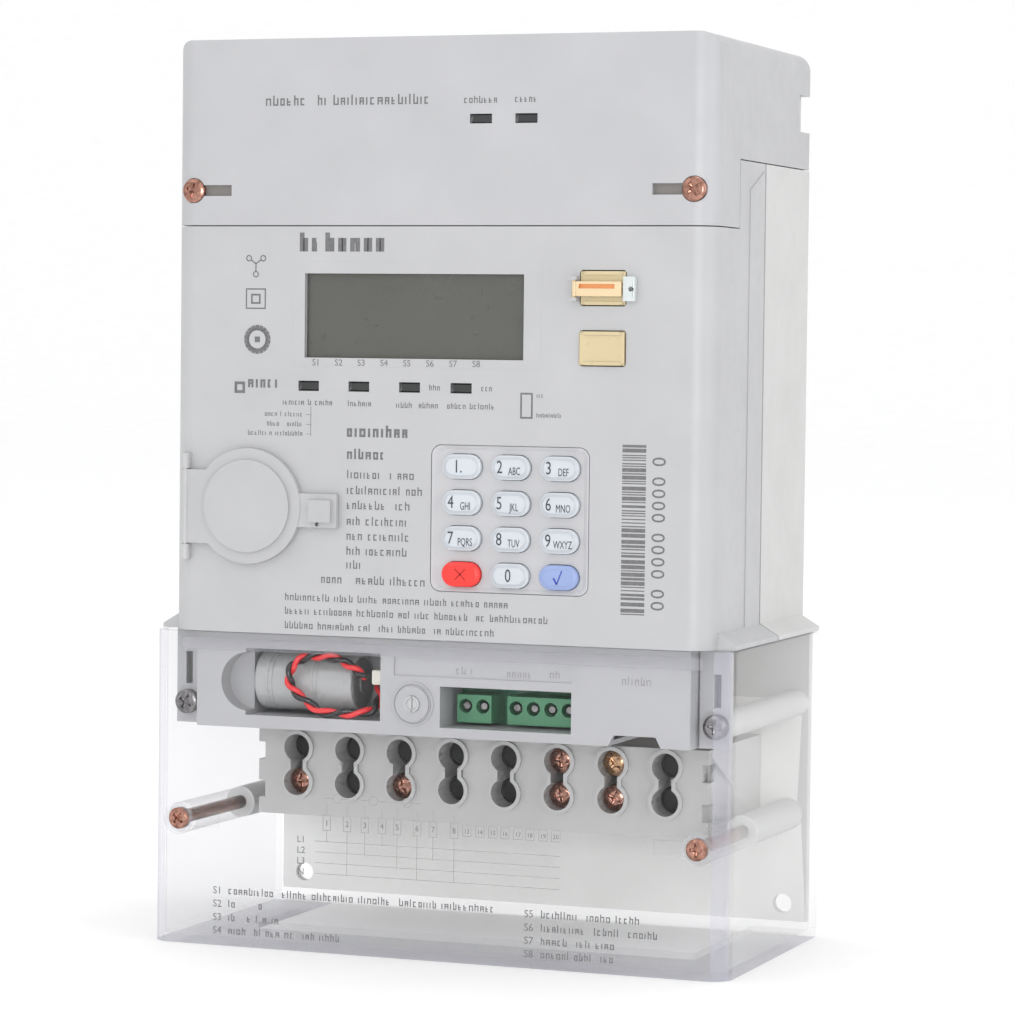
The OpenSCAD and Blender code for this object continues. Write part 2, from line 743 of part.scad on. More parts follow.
module terminal_block() {
    color("silver") difference() {
        union() {
            block([-block_half_w, block_half_w], [block_y, -3.2], block_z);
            for (i = [0:terminal_count - 1], z = well_z)
                rod_y(terminal_x(i), z, 5, block_y - 1.2, block_y + 1);
        }
        for (i = [0:terminal_count - 1]) {
            x = terminal_x(i);
            for (z = well_z) rod_y(x, z, well_r, block_y - 2, clamp_y[0]);
            block([x - 5.4, x + 5.4], [clamp_y[0] - 0.2, clamp_y[1] + 0.1], [clamp_z[0] - 0.2, clamp_z[1] + 0.2]);
            block([x - 4.1, x + 4.1], [clamp_y[1] - cut, strap_y[1] + 0.1], [-80.1, block_z[1] + cut]);
            rod_z(x, cable_y, cable_r, block_z[0] - cut, clamp_z[0]);
        }
        for (s = [-1, 1])
            for (z = [-75, -86]) block([s * block_half_w - 2, s * block_half_w + 2], [-53, -47], [z - 2.5, z + 2.5]);
    }
}

module terminal_clamps() {
    color("goldenrod") for (i = [0:terminal_count - 1]) {
        x = terminal_x(i);
        difference() {
            block([x - 5.2, x + 5.2], clamp_y, clamp_z);
            rod_z(x, cable_y, cable_r, clamp_z[0] - cut, clamp_z[1] + cut);
            for (z = well_z) rod_y(x, z, 2.46, clamp_y[0] - cut, cable_y);
        }
    }
}

// Pan-head screw with a cross recess, head towards the front.
module cross_screw(x, z, head_y) {
    difference() {
        rod_y(x, z, 3.6, head_y, head_y + 3);
        block([x - 1.9, x + 1.9], [head_y - cut, head_y + 1.2], [z - 0.45, z + 0.45]);
        block([x - 0.45, x + 0.45], [head_y - cut, head_y + 1.2], [z - 1.9, z + 1.9]);
    }
    rod_y(x, z, 2.4, head_y + 3, head_y + 17);
}

// True where the screw of terminal i, well k, is backed out to the mouth.
function is_raised(i, k) = len([for (s = raised_screws) if (s == [i, k]) 1]) > 0;

module terminal_screws() {
    color("chocolate") for (i = [0:terminal_count - 1], k = [0, 1])
        cross_screw(terminal_x(i), well_z[k], is_raised(i, k) ? raised_head_y : seated_head_y);
}

// ---------- terminal cover ----------

module terminal_cover() {
    z1 = main_seam - seam_gap;
    color("white", 0.3) difference() {
        union() {
            difference() {
                shell_solid(cover_w, front_y, -2, edge_r, bottom_z, z1);
                shell_solid(cover_w - 4.4, front_y + 2.2, -1, edge_r - 2.2, bottom_z + 2, z1 + 1);
                block([-66, 66], [-56, -1], [bottom_z - 1, bottom_z + 3]);
            }
            for (s = [-1, 1]) rod_y(s * cover_screw_x, cover_screw_z, 4.4, front_y + 1, -47.3);
        }
        for (s = [-1, 1]) {
            rod_y(s * cover_screw_x, cover_screw_z, 3.2, front_y - cut, front_y + 2);
            rod_y(s * cover_screw_x, cover_screw_z, 1.95, front_y, -47);
            block([s * 69 - 5, s * 69 + 5], [front_y - cut, front_y + 0.8], [cover_screw_z - 2, cover_screw_z + 2]);
        }
        block([-86, 86], [-2.9, 0], [bottom_z - 1, bottom_z + 2.5]);
    }
}

module terminal_cover_screws() {
    color("silver") for (s = [-1, 1])
        slotted_screw(s * cover_screw_x, cover_screw_z, front_y - 0.4, 3, 2.4, 1.88, -30);
}

rear_housing();
housing_gasket();
front_cover();
front_cover_screws();
hanger_plate();
display_lens();
display_module();
main_board();
board_screws();
key_switches();
sounder();
power_board();
power_parts();
current_transformers();
relays();
copper_straps();
modem_board();
modem_module();
modem_antenna();
modem_cover();
modem_cover_screws();
modem_windows();
status_windows();
keypad_mat();
key_1();
key_2();
key_3();
key_4();
key_5();
key_6();
key_7();
key_8();
key_9();
key_cancel();
key_0();
key_enter();
scroll_button();
reset_button();
reset_lever();
seal_tab();
optical_ring();
optical_elements();
optical_door();
door_pin();
battery();
battery_plug();
battery_lead_red();
battery_lead_black();
aux_board();
aux_terminal_2way();
aux_terminal_4way();
aux_screws();
tamper_switch();
tamper_plunger();
terminal_block();
terminal_clamps();
terminal_screws();
terminal_cover();
terminal_cover_screws();
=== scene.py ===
"""Keypad prepayment electricity meter, dressed for display.

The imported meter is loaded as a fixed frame. Shells are re-surfaced with moulded edges, small parts such as
keys, screws, the port door and the battery are modelled here, and every surface gets a finish. Each
sub-assembly has its own class.
"""

import json
import logging
import math
import random
from collections.abc import Callable, Sequence
from dataclasses import dataclass, field
from enum import Enum

import bpy
from mathutils import Matrix, Vector


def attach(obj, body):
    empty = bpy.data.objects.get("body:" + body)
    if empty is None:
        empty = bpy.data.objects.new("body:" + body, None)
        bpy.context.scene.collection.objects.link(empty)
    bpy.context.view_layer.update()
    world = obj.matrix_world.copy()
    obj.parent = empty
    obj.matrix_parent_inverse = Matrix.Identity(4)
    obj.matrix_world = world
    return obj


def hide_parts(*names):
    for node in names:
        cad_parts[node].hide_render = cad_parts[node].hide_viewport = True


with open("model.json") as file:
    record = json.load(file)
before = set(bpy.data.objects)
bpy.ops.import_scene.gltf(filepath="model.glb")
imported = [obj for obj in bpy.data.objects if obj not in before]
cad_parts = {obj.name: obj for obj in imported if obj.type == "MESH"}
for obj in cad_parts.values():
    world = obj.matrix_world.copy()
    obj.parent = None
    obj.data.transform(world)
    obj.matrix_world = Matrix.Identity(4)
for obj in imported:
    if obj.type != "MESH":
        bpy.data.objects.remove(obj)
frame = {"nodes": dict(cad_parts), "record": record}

log = logging.getLogger("meter")

MM = 0.001
FRONT = -88.0
DECK = -84.0
Point = tuple[float, float, float]
Span = tuple[float, float]
BOX_FACES = ((0, 1, 2, 3), (7, 6, 5, 4), (0, 4, 5, 1), (1, 5, 6, 2), (2, 6, 7, 3), (3, 7, 4, 0))
RING_STROKES = 18
COVER_SCREW_X = 76.2
COVER_SCREW_Z = -91.0
MODEM_SCREW_X = 73.0
MODEM_SCREW_Z = 84.4


class Axis(Enum):
    """Direction that a turned part points along."""

    X = (0.0, math.pi / 2, 0.0)
    Y = (math.pi / 2, 0.0, 0.0)
    Z = (0.0, 0.0, 0.0)


class Align(Enum):
    """How a line of lettering sits against its anchor."""

    LEFT = "LEFT"
    CENTER = "CENTER"


# ---------- finishes ----------


class Graph:
    """Small helper that builds one material's nodes."""

    def __init__(self, name: str) -> None:
        """Start an empty material with an output and a principled shader.

        Args:
            name: Name of the material.
        """
        self.material = bpy.data.materials.new(name)
        self.material.use_nodes = True
        self.nodes = self.material.node_tree.nodes
        self.links = self.material.node_tree.links
        self.nodes.clear()
        self.output = self.nodes.new("ShaderNodeOutputMaterial")
        self.shader = self.nodes.new("ShaderNodeBsdfPrincipled")
        self.links.new(self.shader.outputs["BSDF"], self.output.inputs["Surface"])
        coords = self.nodes.new("ShaderNodeTexCoord")
        self.place = coords.outputs["Object"]

    def noise(
        self, scale: float, detail: float = 3.0, stretch: Point = (1.0, 1.0, 1.0)
    ) -> bpy.types.NodeSocket:
        """Add a noise pattern in object space.

        Args:
            scale: Cells per metre.
            detail: Octaves of detail.
            stretch: Scale factors along each axis.

        Returns:
            The noise's factor output.
        """
        mapping = self.nodes.new("ShaderNodeMapping")
        mapping.inputs["Scale"].default_value = stretch
        self.links.new(self.place, mapping.inputs["Vector"])
        noise = self.nodes.new("ShaderNodeTexNoise")
        noise.inputs["Scale"].default_value = scale
        noise.inputs["Detail"].default_value = detail
        self.links.new(mapping.outputs["Vector"], noise.inputs["Vector"])
        return noise.outputs["Fac"]

    def span(self, source: bpy.types.NodeSocket, low: float, high: float) -> bpy.types.NodeSocket:
        """Map a 0.3..0.7 noise value to a range.

        Args:
            source: The value to map.
            low: Result at the low end.
            high: Result at the high end.

        Returns:
            The mapped value.
        """
        node = self.nodes.new("ShaderNodeMapRange")
        node.inputs["From Min"].default_value = 0.3
        node.inputs["From Max"].default_value = 0.7
        node.inputs["To Min"].default_value = low
        node.inputs["To Max"].default_value = high
        self.links.new(source, node.inputs["Value"])
        return node.outputs["Result"]

    def tint(self, source: bpy.types.NodeSocket, first: Point, second: Point) -> None:
        """Blend two colours by a noise value into the base colour.

        Args:
            source: Blend factor.
            first: Colour at the low end.
            second: Colour at the high end.
        """
        mix = self.nodes.new("ShaderNodeMix")
        mix.data_type = "RGBA"
        self.links.new(self.span(source, 0.0, 1.0), mix.inputs[0])
        mix.inputs[6].default_value = (*first, 1.0)
        mix.inputs[7].default_value = (*second, 1.0)
        self.links.new(mix.outputs[2], self.shader.inputs["Base Color"])

    def bump(self, source: bpy.types.NodeSocket, depth_mm: float, strength: float = 1.0) -> None:
        """Raise the surface by a pattern.

        Args:
            source: Height pattern.
            depth_mm: Height of the pattern in millimetres.
            strength: How much of it shows.
        """
        node = self.nodes.new("ShaderNodeBump")
        node.inputs["Strength"].default_value = strength
        node.inputs["Distance"].default_value = depth_mm * MM
        self.links.new(source, node.inputs["Height"])
        self.links.new(node.outputs["Normal"], self.shader.inputs["Normal"])


@dataclass(frozen=True)
class Moulded:
    """Injection-moulded plastic or rubber with a fine spark-eroded grain.

    Attributes:
        name: Material name.
        color: Base colour, linear.
        rough: Middle roughness.
        grain: Grain cells per metre.
        depth_mm: Grain height in millimetres.
        mottle: How far the colour varies, as a share.
        coat: Clear coat weight.
        glow: Share of light that passes under the skin.
    """

    name: str
    color: Point
    rough: float = 0.42
    grain: float = 2600.0
    depth_mm: float = 0.02
    mottle: float = 0.035
    coat: float = 0.0
    glow: float = 0.0

    def build(self) -> bpy.types.Material:
        """Make the material.

        Returns:
            The finished material.
        """
        graph = Graph(self.name)
        broad = graph.noise(45.0, 4.0)
        darker = tuple(c * (1.0 - self.mottle) for c in self.color)
        lighter = tuple(min(1.0, c * (1.0 + self.mottle)) for c in self.color)
        graph.tint(broad, darker, lighter)
        fine = graph.noise(self.grain, 2.0)
        rough = graph.span(graph.noise(260.0, 3.0), self.rough - 0.05, self.rough + 0.06)
        graph.links.new(rough, graph.shader.inputs["Roughness"])
        graph.bump(fine, self.depth_mm, 0.55)
        graph.shader.inputs["Coat Weight"].default_value = self.coat
        graph.shader.inputs["Coat Roughness"].default_value = 0.12
        if self.glow > 0:
            graph.shader.inputs["Subsurface Weight"].default_value = self.glow
            graph.shader.inputs["Subsurface Radius"].default_value = (0.6, 0.5, 0.45)
            graph.shader.inputs["Subsurface Scale"].default_value = 0.0012
        return graph.material


@dataclass(frozen=True)
class Plated:
    """Plated or bare metal with fine brushing and dull patches.

    Attributes:
        name: Material name.
        color: Metal colour, linear.
        tarnish: Colour of the dull patches.
        rough: Middle roughness.
        metal: Metallic share.
    """

    name: str
    color: Point
    tarnish: Point
    rough: float = 0.28
    metal: float = 1.0

    def build(self) -> bpy.types.Material:
        """Make the material.

        Returns:
            The finished material.
        """
        graph = Graph(self.name)
        graph.tint(graph.noise(700.0, 4.0), self.color, self.tarnish)
        graph.shader.inputs["Metallic"].default_value = self.metal
        brushed = graph.noise(1500.0, 3.0, (1.0, 1.0, 7.0))
        roughness = graph.span(brushed, self.rough - 0.08, self.rough + 0.12)
        graph.links.new(roughness, graph.shader.inputs["Roughness"])
        graph.bump(graph.noise(3200.0, 2.0), 0.02, 0.5)
        return graph.material


@dataclass(frozen=True)
class Clear:
    """Clear moulded plastic: see-through face on, milky and glossy edge on.

    Attributes:
        name: Material name.
        color: Body colour, linear.
        facing: Opacity seen square on.
        edge: Opacity seen edge on.
        rough: Surface roughness.
        haze: Extra opacity in slow patches.
    """

    name: str
    color: Point
    facing: float
    edge: float
    rough: float = 0.06
    haze: float = 0.04

    def build(self) -> bpy.types.Material:
        """Make the material.

        Returns:
            The finished material.
        """
        graph = Graph(self.name)
        nodes, links = graph.nodes, graph.links
        graph.tint(graph.noise(60.0, 4.0), self.color, tuple(min(1.0, c * 1.05) for c in self.color))
        graph.shader.inputs["Roughness"].default_value = self.rough
        graph.shader.inputs["IOR"].default_value = 1.49
        graph.bump(graph.noise(120.0, 2.0), 0.03, 0.25)
        weight = nodes.new("ShaderNodeLayerWeight")
        weight.inputs["Blend"].default_value = 0.32
        ramp = nodes.new("ShaderNodeMapRange")
        ramp.inputs["From Min"].default_value = 0.35
        ramp.inputs["From Max"].default_value = 0.98
        ramp.inputs["To Min"].default_value = self.facing
        ramp.inputs["To Max"].default_value = self.edge
        links.new(weight.outputs["Facing"], ramp.inputs["Value"])
        add = nodes.new("ShaderNodeMath")
        add.operation = "ADD"
        add.use_clamp = True
        links.new(ramp.outputs["Result"], add.inputs[0])
        links.new(graph.span(graph.noise(38.0, 3.0), 0.0, self.haze), add.inputs[1])
        clear = nodes.new("ShaderNodeBsdfTransparent")
        clear.inputs["Color"].default_value = (0.985, 0.985, 0.99, 1.0)
        mix = nodes.new("ShaderNodeMixShader")
        links.new(add.outputs[0], mix.inputs["Fac"])
        links.new(clear.outputs["BSDF"], mix.inputs[1])
        links.new(graph.shader.outputs["BSDF"], mix.inputs[2])
        links.new(mix.outputs["Shader"], graph.output.inputs["Surface"])
        return graph.material


@dataclass(frozen=True)
class Ink:
    """Screen-printed ink, slightly thin in places.

    Attributes:
        name: Material name.
        color: Ink colour, linear.
    """

    name: str
    color: Point

    def build(self) -> bpy.types.Material:
        """Make the material.

        Returns:
            The finished material.
        """
        graph = Graph(self.name)
        thin = tuple(min(1.0, c * 1.25 + 0.01) for c in self.color)
        graph.tint(graph.noise(900.0, 3.0), self.color, thin)
        graph.shader.inputs["Roughness"].default_value = 0.55
        graph.bump(graph.noise(2400.0, 2.0), 0.01, 0.4)
        return graph.material


SHELL = Moulded("shell_plastic", (0.425, 0.427, 0.436), rough=0.4)
CAP = Moulded("cap_plastic", (0.42, 0.422, 0.437), rough=0.4)
# Much lighter than the housing plastic: painted light for the lower back plate, which lies in shade under the
# terminal block.
PLATE_PAINTED_LIGHT = Moulded("back_plate_painted_light", (0.86, 0.86, 0.84), rough=0.5, glow=0.12)
HOUSING = Moulded("housing_plastic", (0.52, 0.52, 0.516), rough=0.46)
DOOR = Moulded("door_plastic", (0.415, 0.417, 0.425), rough=0.36, grain=3200.0, depth_mm=0.012)
BLOCK = Moulded("terminal_block_plastic", (0.5, 0.5, 0.492), rough=0.5, grain=1900.0, depth_mm=0.03)
# Dark brown for the floor of the modem cover's screw slots: painted shade in the slots.
SLOT_PAINTED_SHADE = Moulded("slot_floor_painted_shade", (0.2, 0.185, 0.175), rough=0.5)
GASKET = Moulded("gasket_rubber", (0.2, 0.2, 0.2), rough=0.7, grain=1500.0, mottle=0.12)
MAT = Moulded("keypad_mat_rubber", (0.46, 0.46, 0.475), rough=0.5, glow=0.15)
KEY = Moulded("key_silicone", (0.53, 0.56, 0.6), rough=0.34, depth_mm=0.008, glow=0.25)
KEY_RED = Moulded("key_red_silicone", (0.86, 0.035, 0.028), rough=0.36, depth_mm=0.008, mottle=0.06)
KEY_BLUE = Moulded("key_blue_silicone", (0.25, 0.32, 0.55), rough=0.36, depth_mm=0.008, mottle=0.06)
BUTTON = Moulded("button_plastic", (0.55, 0.455, 0.27), rough=0.3, depth_mm=0.006, coat=0.25)
LEVER = Moulded("lever_plastic", (0.68, 0.53, 0.32), rough=0.3, depth_mm=0.008, coat=0.25)
LEVER_DARK = Moulded("lever_slot", (0.74, 0.33, 0.12), rough=0.45)
DARK = Moulded("window_smoke", (0.012, 0.013, 0.014), rough=0.12, coat=0.6, mottle=0.3, depth_mm=0.004)
BLACK_PART = Moulded("black_component", (0.012, 0.012, 0.013), rough=0.5, mottle=0.2)
SHRINK = Moulded(
    "battery_shrink_wrap", (0.39, 0.4, 0.4), rough=0.3, grain=900.0, depth_mm=0.02, mottle=0.07, coat=0.2)
CELL_END = Moulded("battery_end_disc", (0.2, 0.205, 0.21), rough=0.42, mottle=0.15)
PLUG = Moulded("plug_nylon", (0.72, 0.7, 0.62), rough=0.45)
LEAD_RED = Moulded(
    "lead_red_insulation", (0.72, 0.03, 0.035), rough=0.28, grain=1400.0, depth_mm=0.01, mottle=0.1, coat=0.3)
LEAD_BLACK = Moulded(
    "lead_black_insulation", (0.014, 0.014, 0.016),
    rough=0.3, grain=1400.0, depth_mm=0.01, mottle=0.2, coat=0.3)
GREEN = Moulded("terminal_green", (0.075, 0.26, 0.135), rough=0.36, mottle=0.08, coat=0.1)
BOARD = Moulded(
    "board_lacquer", (0.03, 0.16, 0.08), rough=0.32, grain=700.0, depth_mm=0.03, mottle=0.25, coat=0.4)
CORE = Moulded("transformer_tape", (0.03, 0.06, 0.2), rough=0.4, mottle=0.2)
RELAY = Moulded("relay_case", (0.05, 0.16, 0.5), rough=0.35, mottle=0.1, coat=0.2)
CERAMIC = Moulded("antenna_ceramic", (0.6, 0.58, 0.5), rough=0.5, mottle=0.08)
FILTER = Moulded("power_part_case", (0.06, 0.1, 0.1), rough=0.4, mottle=0.2)
TAB = Moulded("seal_tab_plastic", (0.55, 0.59, 0.59), rough=0.2, depth_mm=0.004, coat=0.6, glow=0.2)
PEARL = Moulded("plunger_gloss", (0.5, 0.505, 0.51), rough=0.12, depth_mm=0.004, coat=1.0)
LCD = Moulded(
    "display_polariser", (0.08, 0.082, 0.07),
    rough=0.32, grain=1200.0, depth_mm=0.0006, mottle=0.03, coat=0.08)
BEZEL = Moulded("display_bezel", (0.06, 0.062, 0.058), rough=0.4, mottle=0.1)
STEEL = Plated("zinc_plate", (0.34, 0.33, 0.33), (0.16, 0.155, 0.16), rough=0.3)
ZINC = Plated("galvanised_sheet", (0.5, 0.5, 0.5), (0.42, 0.42, 0.42), rough=0.3)
COPPER_SCREW = Plated("copper_toned_plate", (0.56, 0.3, 0.23), (0.2, 0.1, 0.075), rough=0.2)
GOLD_SCREW = Plated("passivated_plate", (0.7, 0.42, 0.22), (0.36, 0.24, 0.16), rough=0.24)
# Near black for the wound-down terminal screws: painted shade deep in the wells.
SCREW_PAINTED_SHADE = Plated("deep_screw_painted_shade", (0.012, 0.012, 0.012), (0.006, 0.006, 0.006), rough=0.6)
BRASS = Plated("clamp_brass", (0.6, 0.43, 0.2), (0.38, 0.28, 0.15), rough=0.34)
COPPER = Plated("strap_copper", (0.72, 0.35, 0.2), (0.45, 0.22, 0.13), rough=0.36)
TIN = Plated("shield_tin", (0.6, 0.6, 0.6), (0.48, 0.48, 0.48), rough=0.3)
LENS = Clear("display_lens_clear", (0.5, 0.5, 0.48), 0.01, 0.4, haze=0.01)
COVER = Clear("terminal_cover_clear", (0.7, 0.7, 0.69), 0.006, 0.62, rough=0.06, haze=0.006)
# Lighter and more opaque than the clear body: painted light that brightens the cover's top rail and screw
# rings.
COVER_RIM = Clear("terminal_cover_rim", (0.66, 0.66, 0.7), 0.1, 0.45, rough=0.08, haze=0.02)
COVER_EDGE = Clear("terminal_cover_edge", (0.44, 0.44, 0.52), 0.28, 0.8, rough=0.1, haze=0.06)
GREY_INK = Ink("grey_ink", (0.115, 0.115, 0.118))
LIGHT_INK = Ink("light_grey_ink", (0.26, 0.26, 0.265))
KEY_INK = Ink("key_ink", (0.03, 0.035, 0.045))
BLUE_INK = Ink("blue_ink", (0.02, 0.05, 0.3))
RED_INK = Ink("dark_red_ink", (0.3, 0.005, 0.005))
COVER_INK = Ink("cover_ink", (0.12, 0.12, 0.125))
Finish = Moulded | Plated | Clear | Ink
_built: dict[str, bpy.types.Material] = {}


def finish(kind: Finish) -> bpy.types.Material:
    """Build a finish once and hand out the same material after that.

    Args:
        kind: The finish wanted.

    Returns:
        Its material.
    """
    if kind.name not in _built:
        _built[kind.name] = kind.build()
    return _built[kind.name]


def dress(obj: bpy.types.Object, *kinds: Finish) -> bpy.types.Object:
    """Give an object one or more finishes, first to last slot.

    Args:
        obj: The object.
        kinds: Finishes in slot order.

    Returns:
        The same object.
    """
    obj.data.materials.clear()
    for kind in kinds:
        obj.data.materials.append(finish(kind))
    return obj


def coat_node(node: str, kind: Finish) -> None:
    """Give a carried-over node a finish in all its slots.

    Args:
        node: Name of the node.
        kind: The finish.
    """
    obj = frame["nodes"][node]
    if not obj.material_slots:
        obj.data.materials.append(finish(kind))
    for slot in obj.material_slots:
        slot.material = finish(kind)


# ---------- bench tools ----------


def pick(*objs: bpy.types.Object) -> None:
    """Select only the given objects, the first one active."""
    bpy.ops.object.select_all(action="DESELECT")
    for obj in objs:
        obj.select_set(True)
    bpy.context.view_layer.objects.active = objs[0]


def settle(obj: bpy.types.Object) -> bpy.types.Object:
    """Apply an object's place, turn and scale to its mesh.

    Args:
        obj: The object.

    Returns:
        The same object.
    """
    pick(obj)
    bpy.ops.object.transform_apply(location=True, rotation=True, scale=True)
    return obj


def slab(name: str, x: Span, y: Span, z: Span) -> bpy.types.Object:
    """Start a piece from a block between two corners.

    Args:
        name: Name of the piece.
        x: Low and high X in millimetres.
        y: Low and high Y in millimetres.
        z: Low and high Z in millimetres.

    Returns:
        The block.
    """
    spans = (x, y, z)
    middle = [(a + b) / 2 * MM for a, b in spans]
    bpy.ops.mesh.primitive_cube_add(size=1, location=middle, scale=[(b - a) * MM for a, b in spans])
    obj = bpy.context.object
    obj.name = name
    return settle(obj)


def rod(
    name: str, base: Point, axis: Axis, radius: float, length: float, sides: int = 40
) -> bpy.types.Object:
    """Start a piece from a round bar centred on a point.

    Args:
        name: Name of the piece.
        base: Middle of the bar in millimetres.
        axis: Direction of the bar.
        radius: Radius in millimetres.
        length: Length in millimetres.
        sides: Facets round the bar.

    Returns:
        The bar.
    """
    bpy.ops.mesh.primitive_cylinder_add(
        vertices=sides, radius=radius * MM, depth=length * MM,
        location=[v * MM for v in base], rotation=axis.value)
    obj = bpy.context.object
    obj.name = name
    return settle(obj)


def pick_faces(obj: bpy.types.Object, test: Callable[[Vector, Vector], bool]) -> int:
    """Enter edit mode with the faces that pass a test selected.

    Args:
        obj: The object.
        test: Takes a face's middle in millimetres and its normal.

    Returns:
        How many faces were selected.
    """
    pick(obj)
    bpy.ops.object.mode_set(mode="EDIT")
    bpy.ops.mesh.select_mode(type="FACE")
    bpy.ops.mesh.select_all(action="DESELECT")
    bpy.ops.object.mode_set(mode="OBJECT")
    count = 0
    for face in obj.data.polygons:
        face.select = test(face.center / MM, face.normal)
        count += face.select
    bpy.ops.object.mode_set(mode="EDIT")
    return count


def leave_edit() -> None:
    """Go back to object mode."""
    bpy.ops.object.mode_set(mode="OBJECT")


def inset_and_push(obj: bpy.types.Object, test: Callable[[Vector, Vector], bool], inset: float, push: float,
                   material: int | None = None) -> None:
    """Inset the tested faces and push them along Y.

    Args:
        obj: The object.
        test: Which faces.
        inset: Inset in millimetres.
        push: Move along Y in millimetres, negative towards the front.
        material: Slot for the moved faces.
    """
    pick_faces(obj, test)
    bpy.ops.mesh.inset(thickness=inset * MM, use_boundary=True, use_even_offset=True)
    bpy.ops.transform.translate(value=(0, push * MM, 0))
    if material is not None:
        obj.active_material_index = material
        bpy.ops.object.material_slot_assign()
    leave_edit()


def add_modifier(obj: bpy.types.Object, kind: str, **values: object) -> None:
    """Add a modifier with the given settings and apply it.

    Args:
        obj: The object.
        kind: Blender's modifier type.
        values: Its settings.
    """
    pick(obj)
    modifier = obj.modifiers.new(kind.lower(), kind)
    for key, value in values.items():
        setattr(modifier, key, value)
    bpy.ops.object.modifier_apply(modifier=modifier.name)


def soften(obj: bpy.types.Object, width: float, segments: int = 2, angle: float = 35.0) -> bpy.types.Object:
    """Round the sharp edges and shade smooth.

    Args:
        obj: The object.
        width: Bevel width in millimetres.
        segments: Bevel segments.
        angle: Edges sharper than this are rounded, in degrees.

    Returns:
        The same object.
    """
    add_modifier(obj, "BEVEL", width=width * MM, segments=segments, limit_method="ANGLE",
                 angle_limit=math.radians(angle), use_clamp_overlap=True, miter_outer="MITER_ARC")
    pick(obj)
    bpy.ops.object.shade_smooth_by_angle(angle=math.radians(40))
    return obj


def merge_into(name: str, objs: Sequence[bpy.types.Object]) -> bpy.types.Object:
    """Join several objects into one.

    Args:
        name: Name of the result.
        objs: Objects to join.

    Returns:
        The joined object.
    """
    pick(*objs)
    if len(objs) > 1:
        bpy.ops.object.join()
    obj = bpy.context.view_layer.objects.active
    obj.name = name
    return obj


def carve(obj: bpy.types.Object, *tools: bpy.types.Object, mode: str = "DIFFERENCE") -> bpy.types.Object:
    """Cut tools out of an object, or weld them to it.

    Args:
        obj: The object that stays.
        tools: Objects used up.
        mode: DIFFERENCE, UNION or INTERSECT.

    Returns:
        The object.
    """
    for tool in tools:
        add_modifier(obj, "BOOLEAN", operation=mode, solver="EXACT", object=tool)
        bpy.data.objects.remove(tool, do_unlink=True)
    return obj


def copies(
    master: bpy.types.Object, shifts: Sequence[Point], turns: Sequence[float] | None = None
) -> list[bpy.types.Object]:
    """Copy a master with its own mesh to each place, then drop the master.

    Args:
        master: Piece made once at the origin.
        shifts: Places in millimetres.
        turns: Turn about Y of each copy, in degrees.

    Returns:
        The copies.
    """
    made = []
    for index, shift in enumerate(shifts):
        obj = master.copy()
        obj.data = master.data.copy()
        bpy.context.collection.objects.link(obj)
        turn = math.radians(turns[index]) if turns else 0.0
        obj.data.transform(Matrix.Translation([v * MM for v in shift]) @ Matrix.Rotation(turn, 4, "Y"))
        made.append(obj)
    bpy.data.objects.remove(master, do_unlink=True)
    return made


def resurface(name: str, node: str, width: float = 0.35, segments: int = 2) -> bpy.types.Object:
    """Copy a node's shape, merge it and round its moulded edges.

    Args:
        name: Name of the new piece.
        node: The node that it stands for.
        width: Edge radius in millimetres.
        segments: Bevel segments.

    Returns:
        The new piece.
    """
    source = frame["nodes"][node]
    obj = bpy.data.objects.new(name, source.data.copy())
    bpy.context.collection.objects.link(obj)
    obj.matrix_world = source.matrix_world.copy()
    settle(obj)
    bpy.ops.object.mode_set(mode="EDIT")
    bpy.ops.mesh.select_all(action="SELECT")
    bpy.ops.mesh.remove_doubles(threshold=0.01 * MM)
    bpy.ops.mesh.normals_make_consistent(inside=False)
    bpy.ops.mesh.dissolve_limited(angle_limit=math.radians(1.0))
    leave_edit()
    if width > 0:
        soften(obj, width, segments)
    else:
        bpy.ops.object.shade_smooth_by_angle(angle=math.radians(35))
    return obj


def place(obj: bpy.types.Object, body: str, slot: str, *nodes: str) -> bpy.types.Object:
    """Make a finished piece ride on its body and stand for its nodes.

    Args:
        obj: The piece.
        body: Body that it rides on.
        slot: The record's material slot; not used.
        nodes: Nodes that it replaces.

    Returns:
        The piece.
    """
    add_modifier(obj, "WEIGHTED_NORMAL", keep_sharp=True, weight=100)
    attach(obj, body)
    if nodes:
        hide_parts(*nodes)
    log.info("%s: %d faces on %s", obj.name, len(obj.data.polygons), body)
    return obj


# ---------- lettering ----------


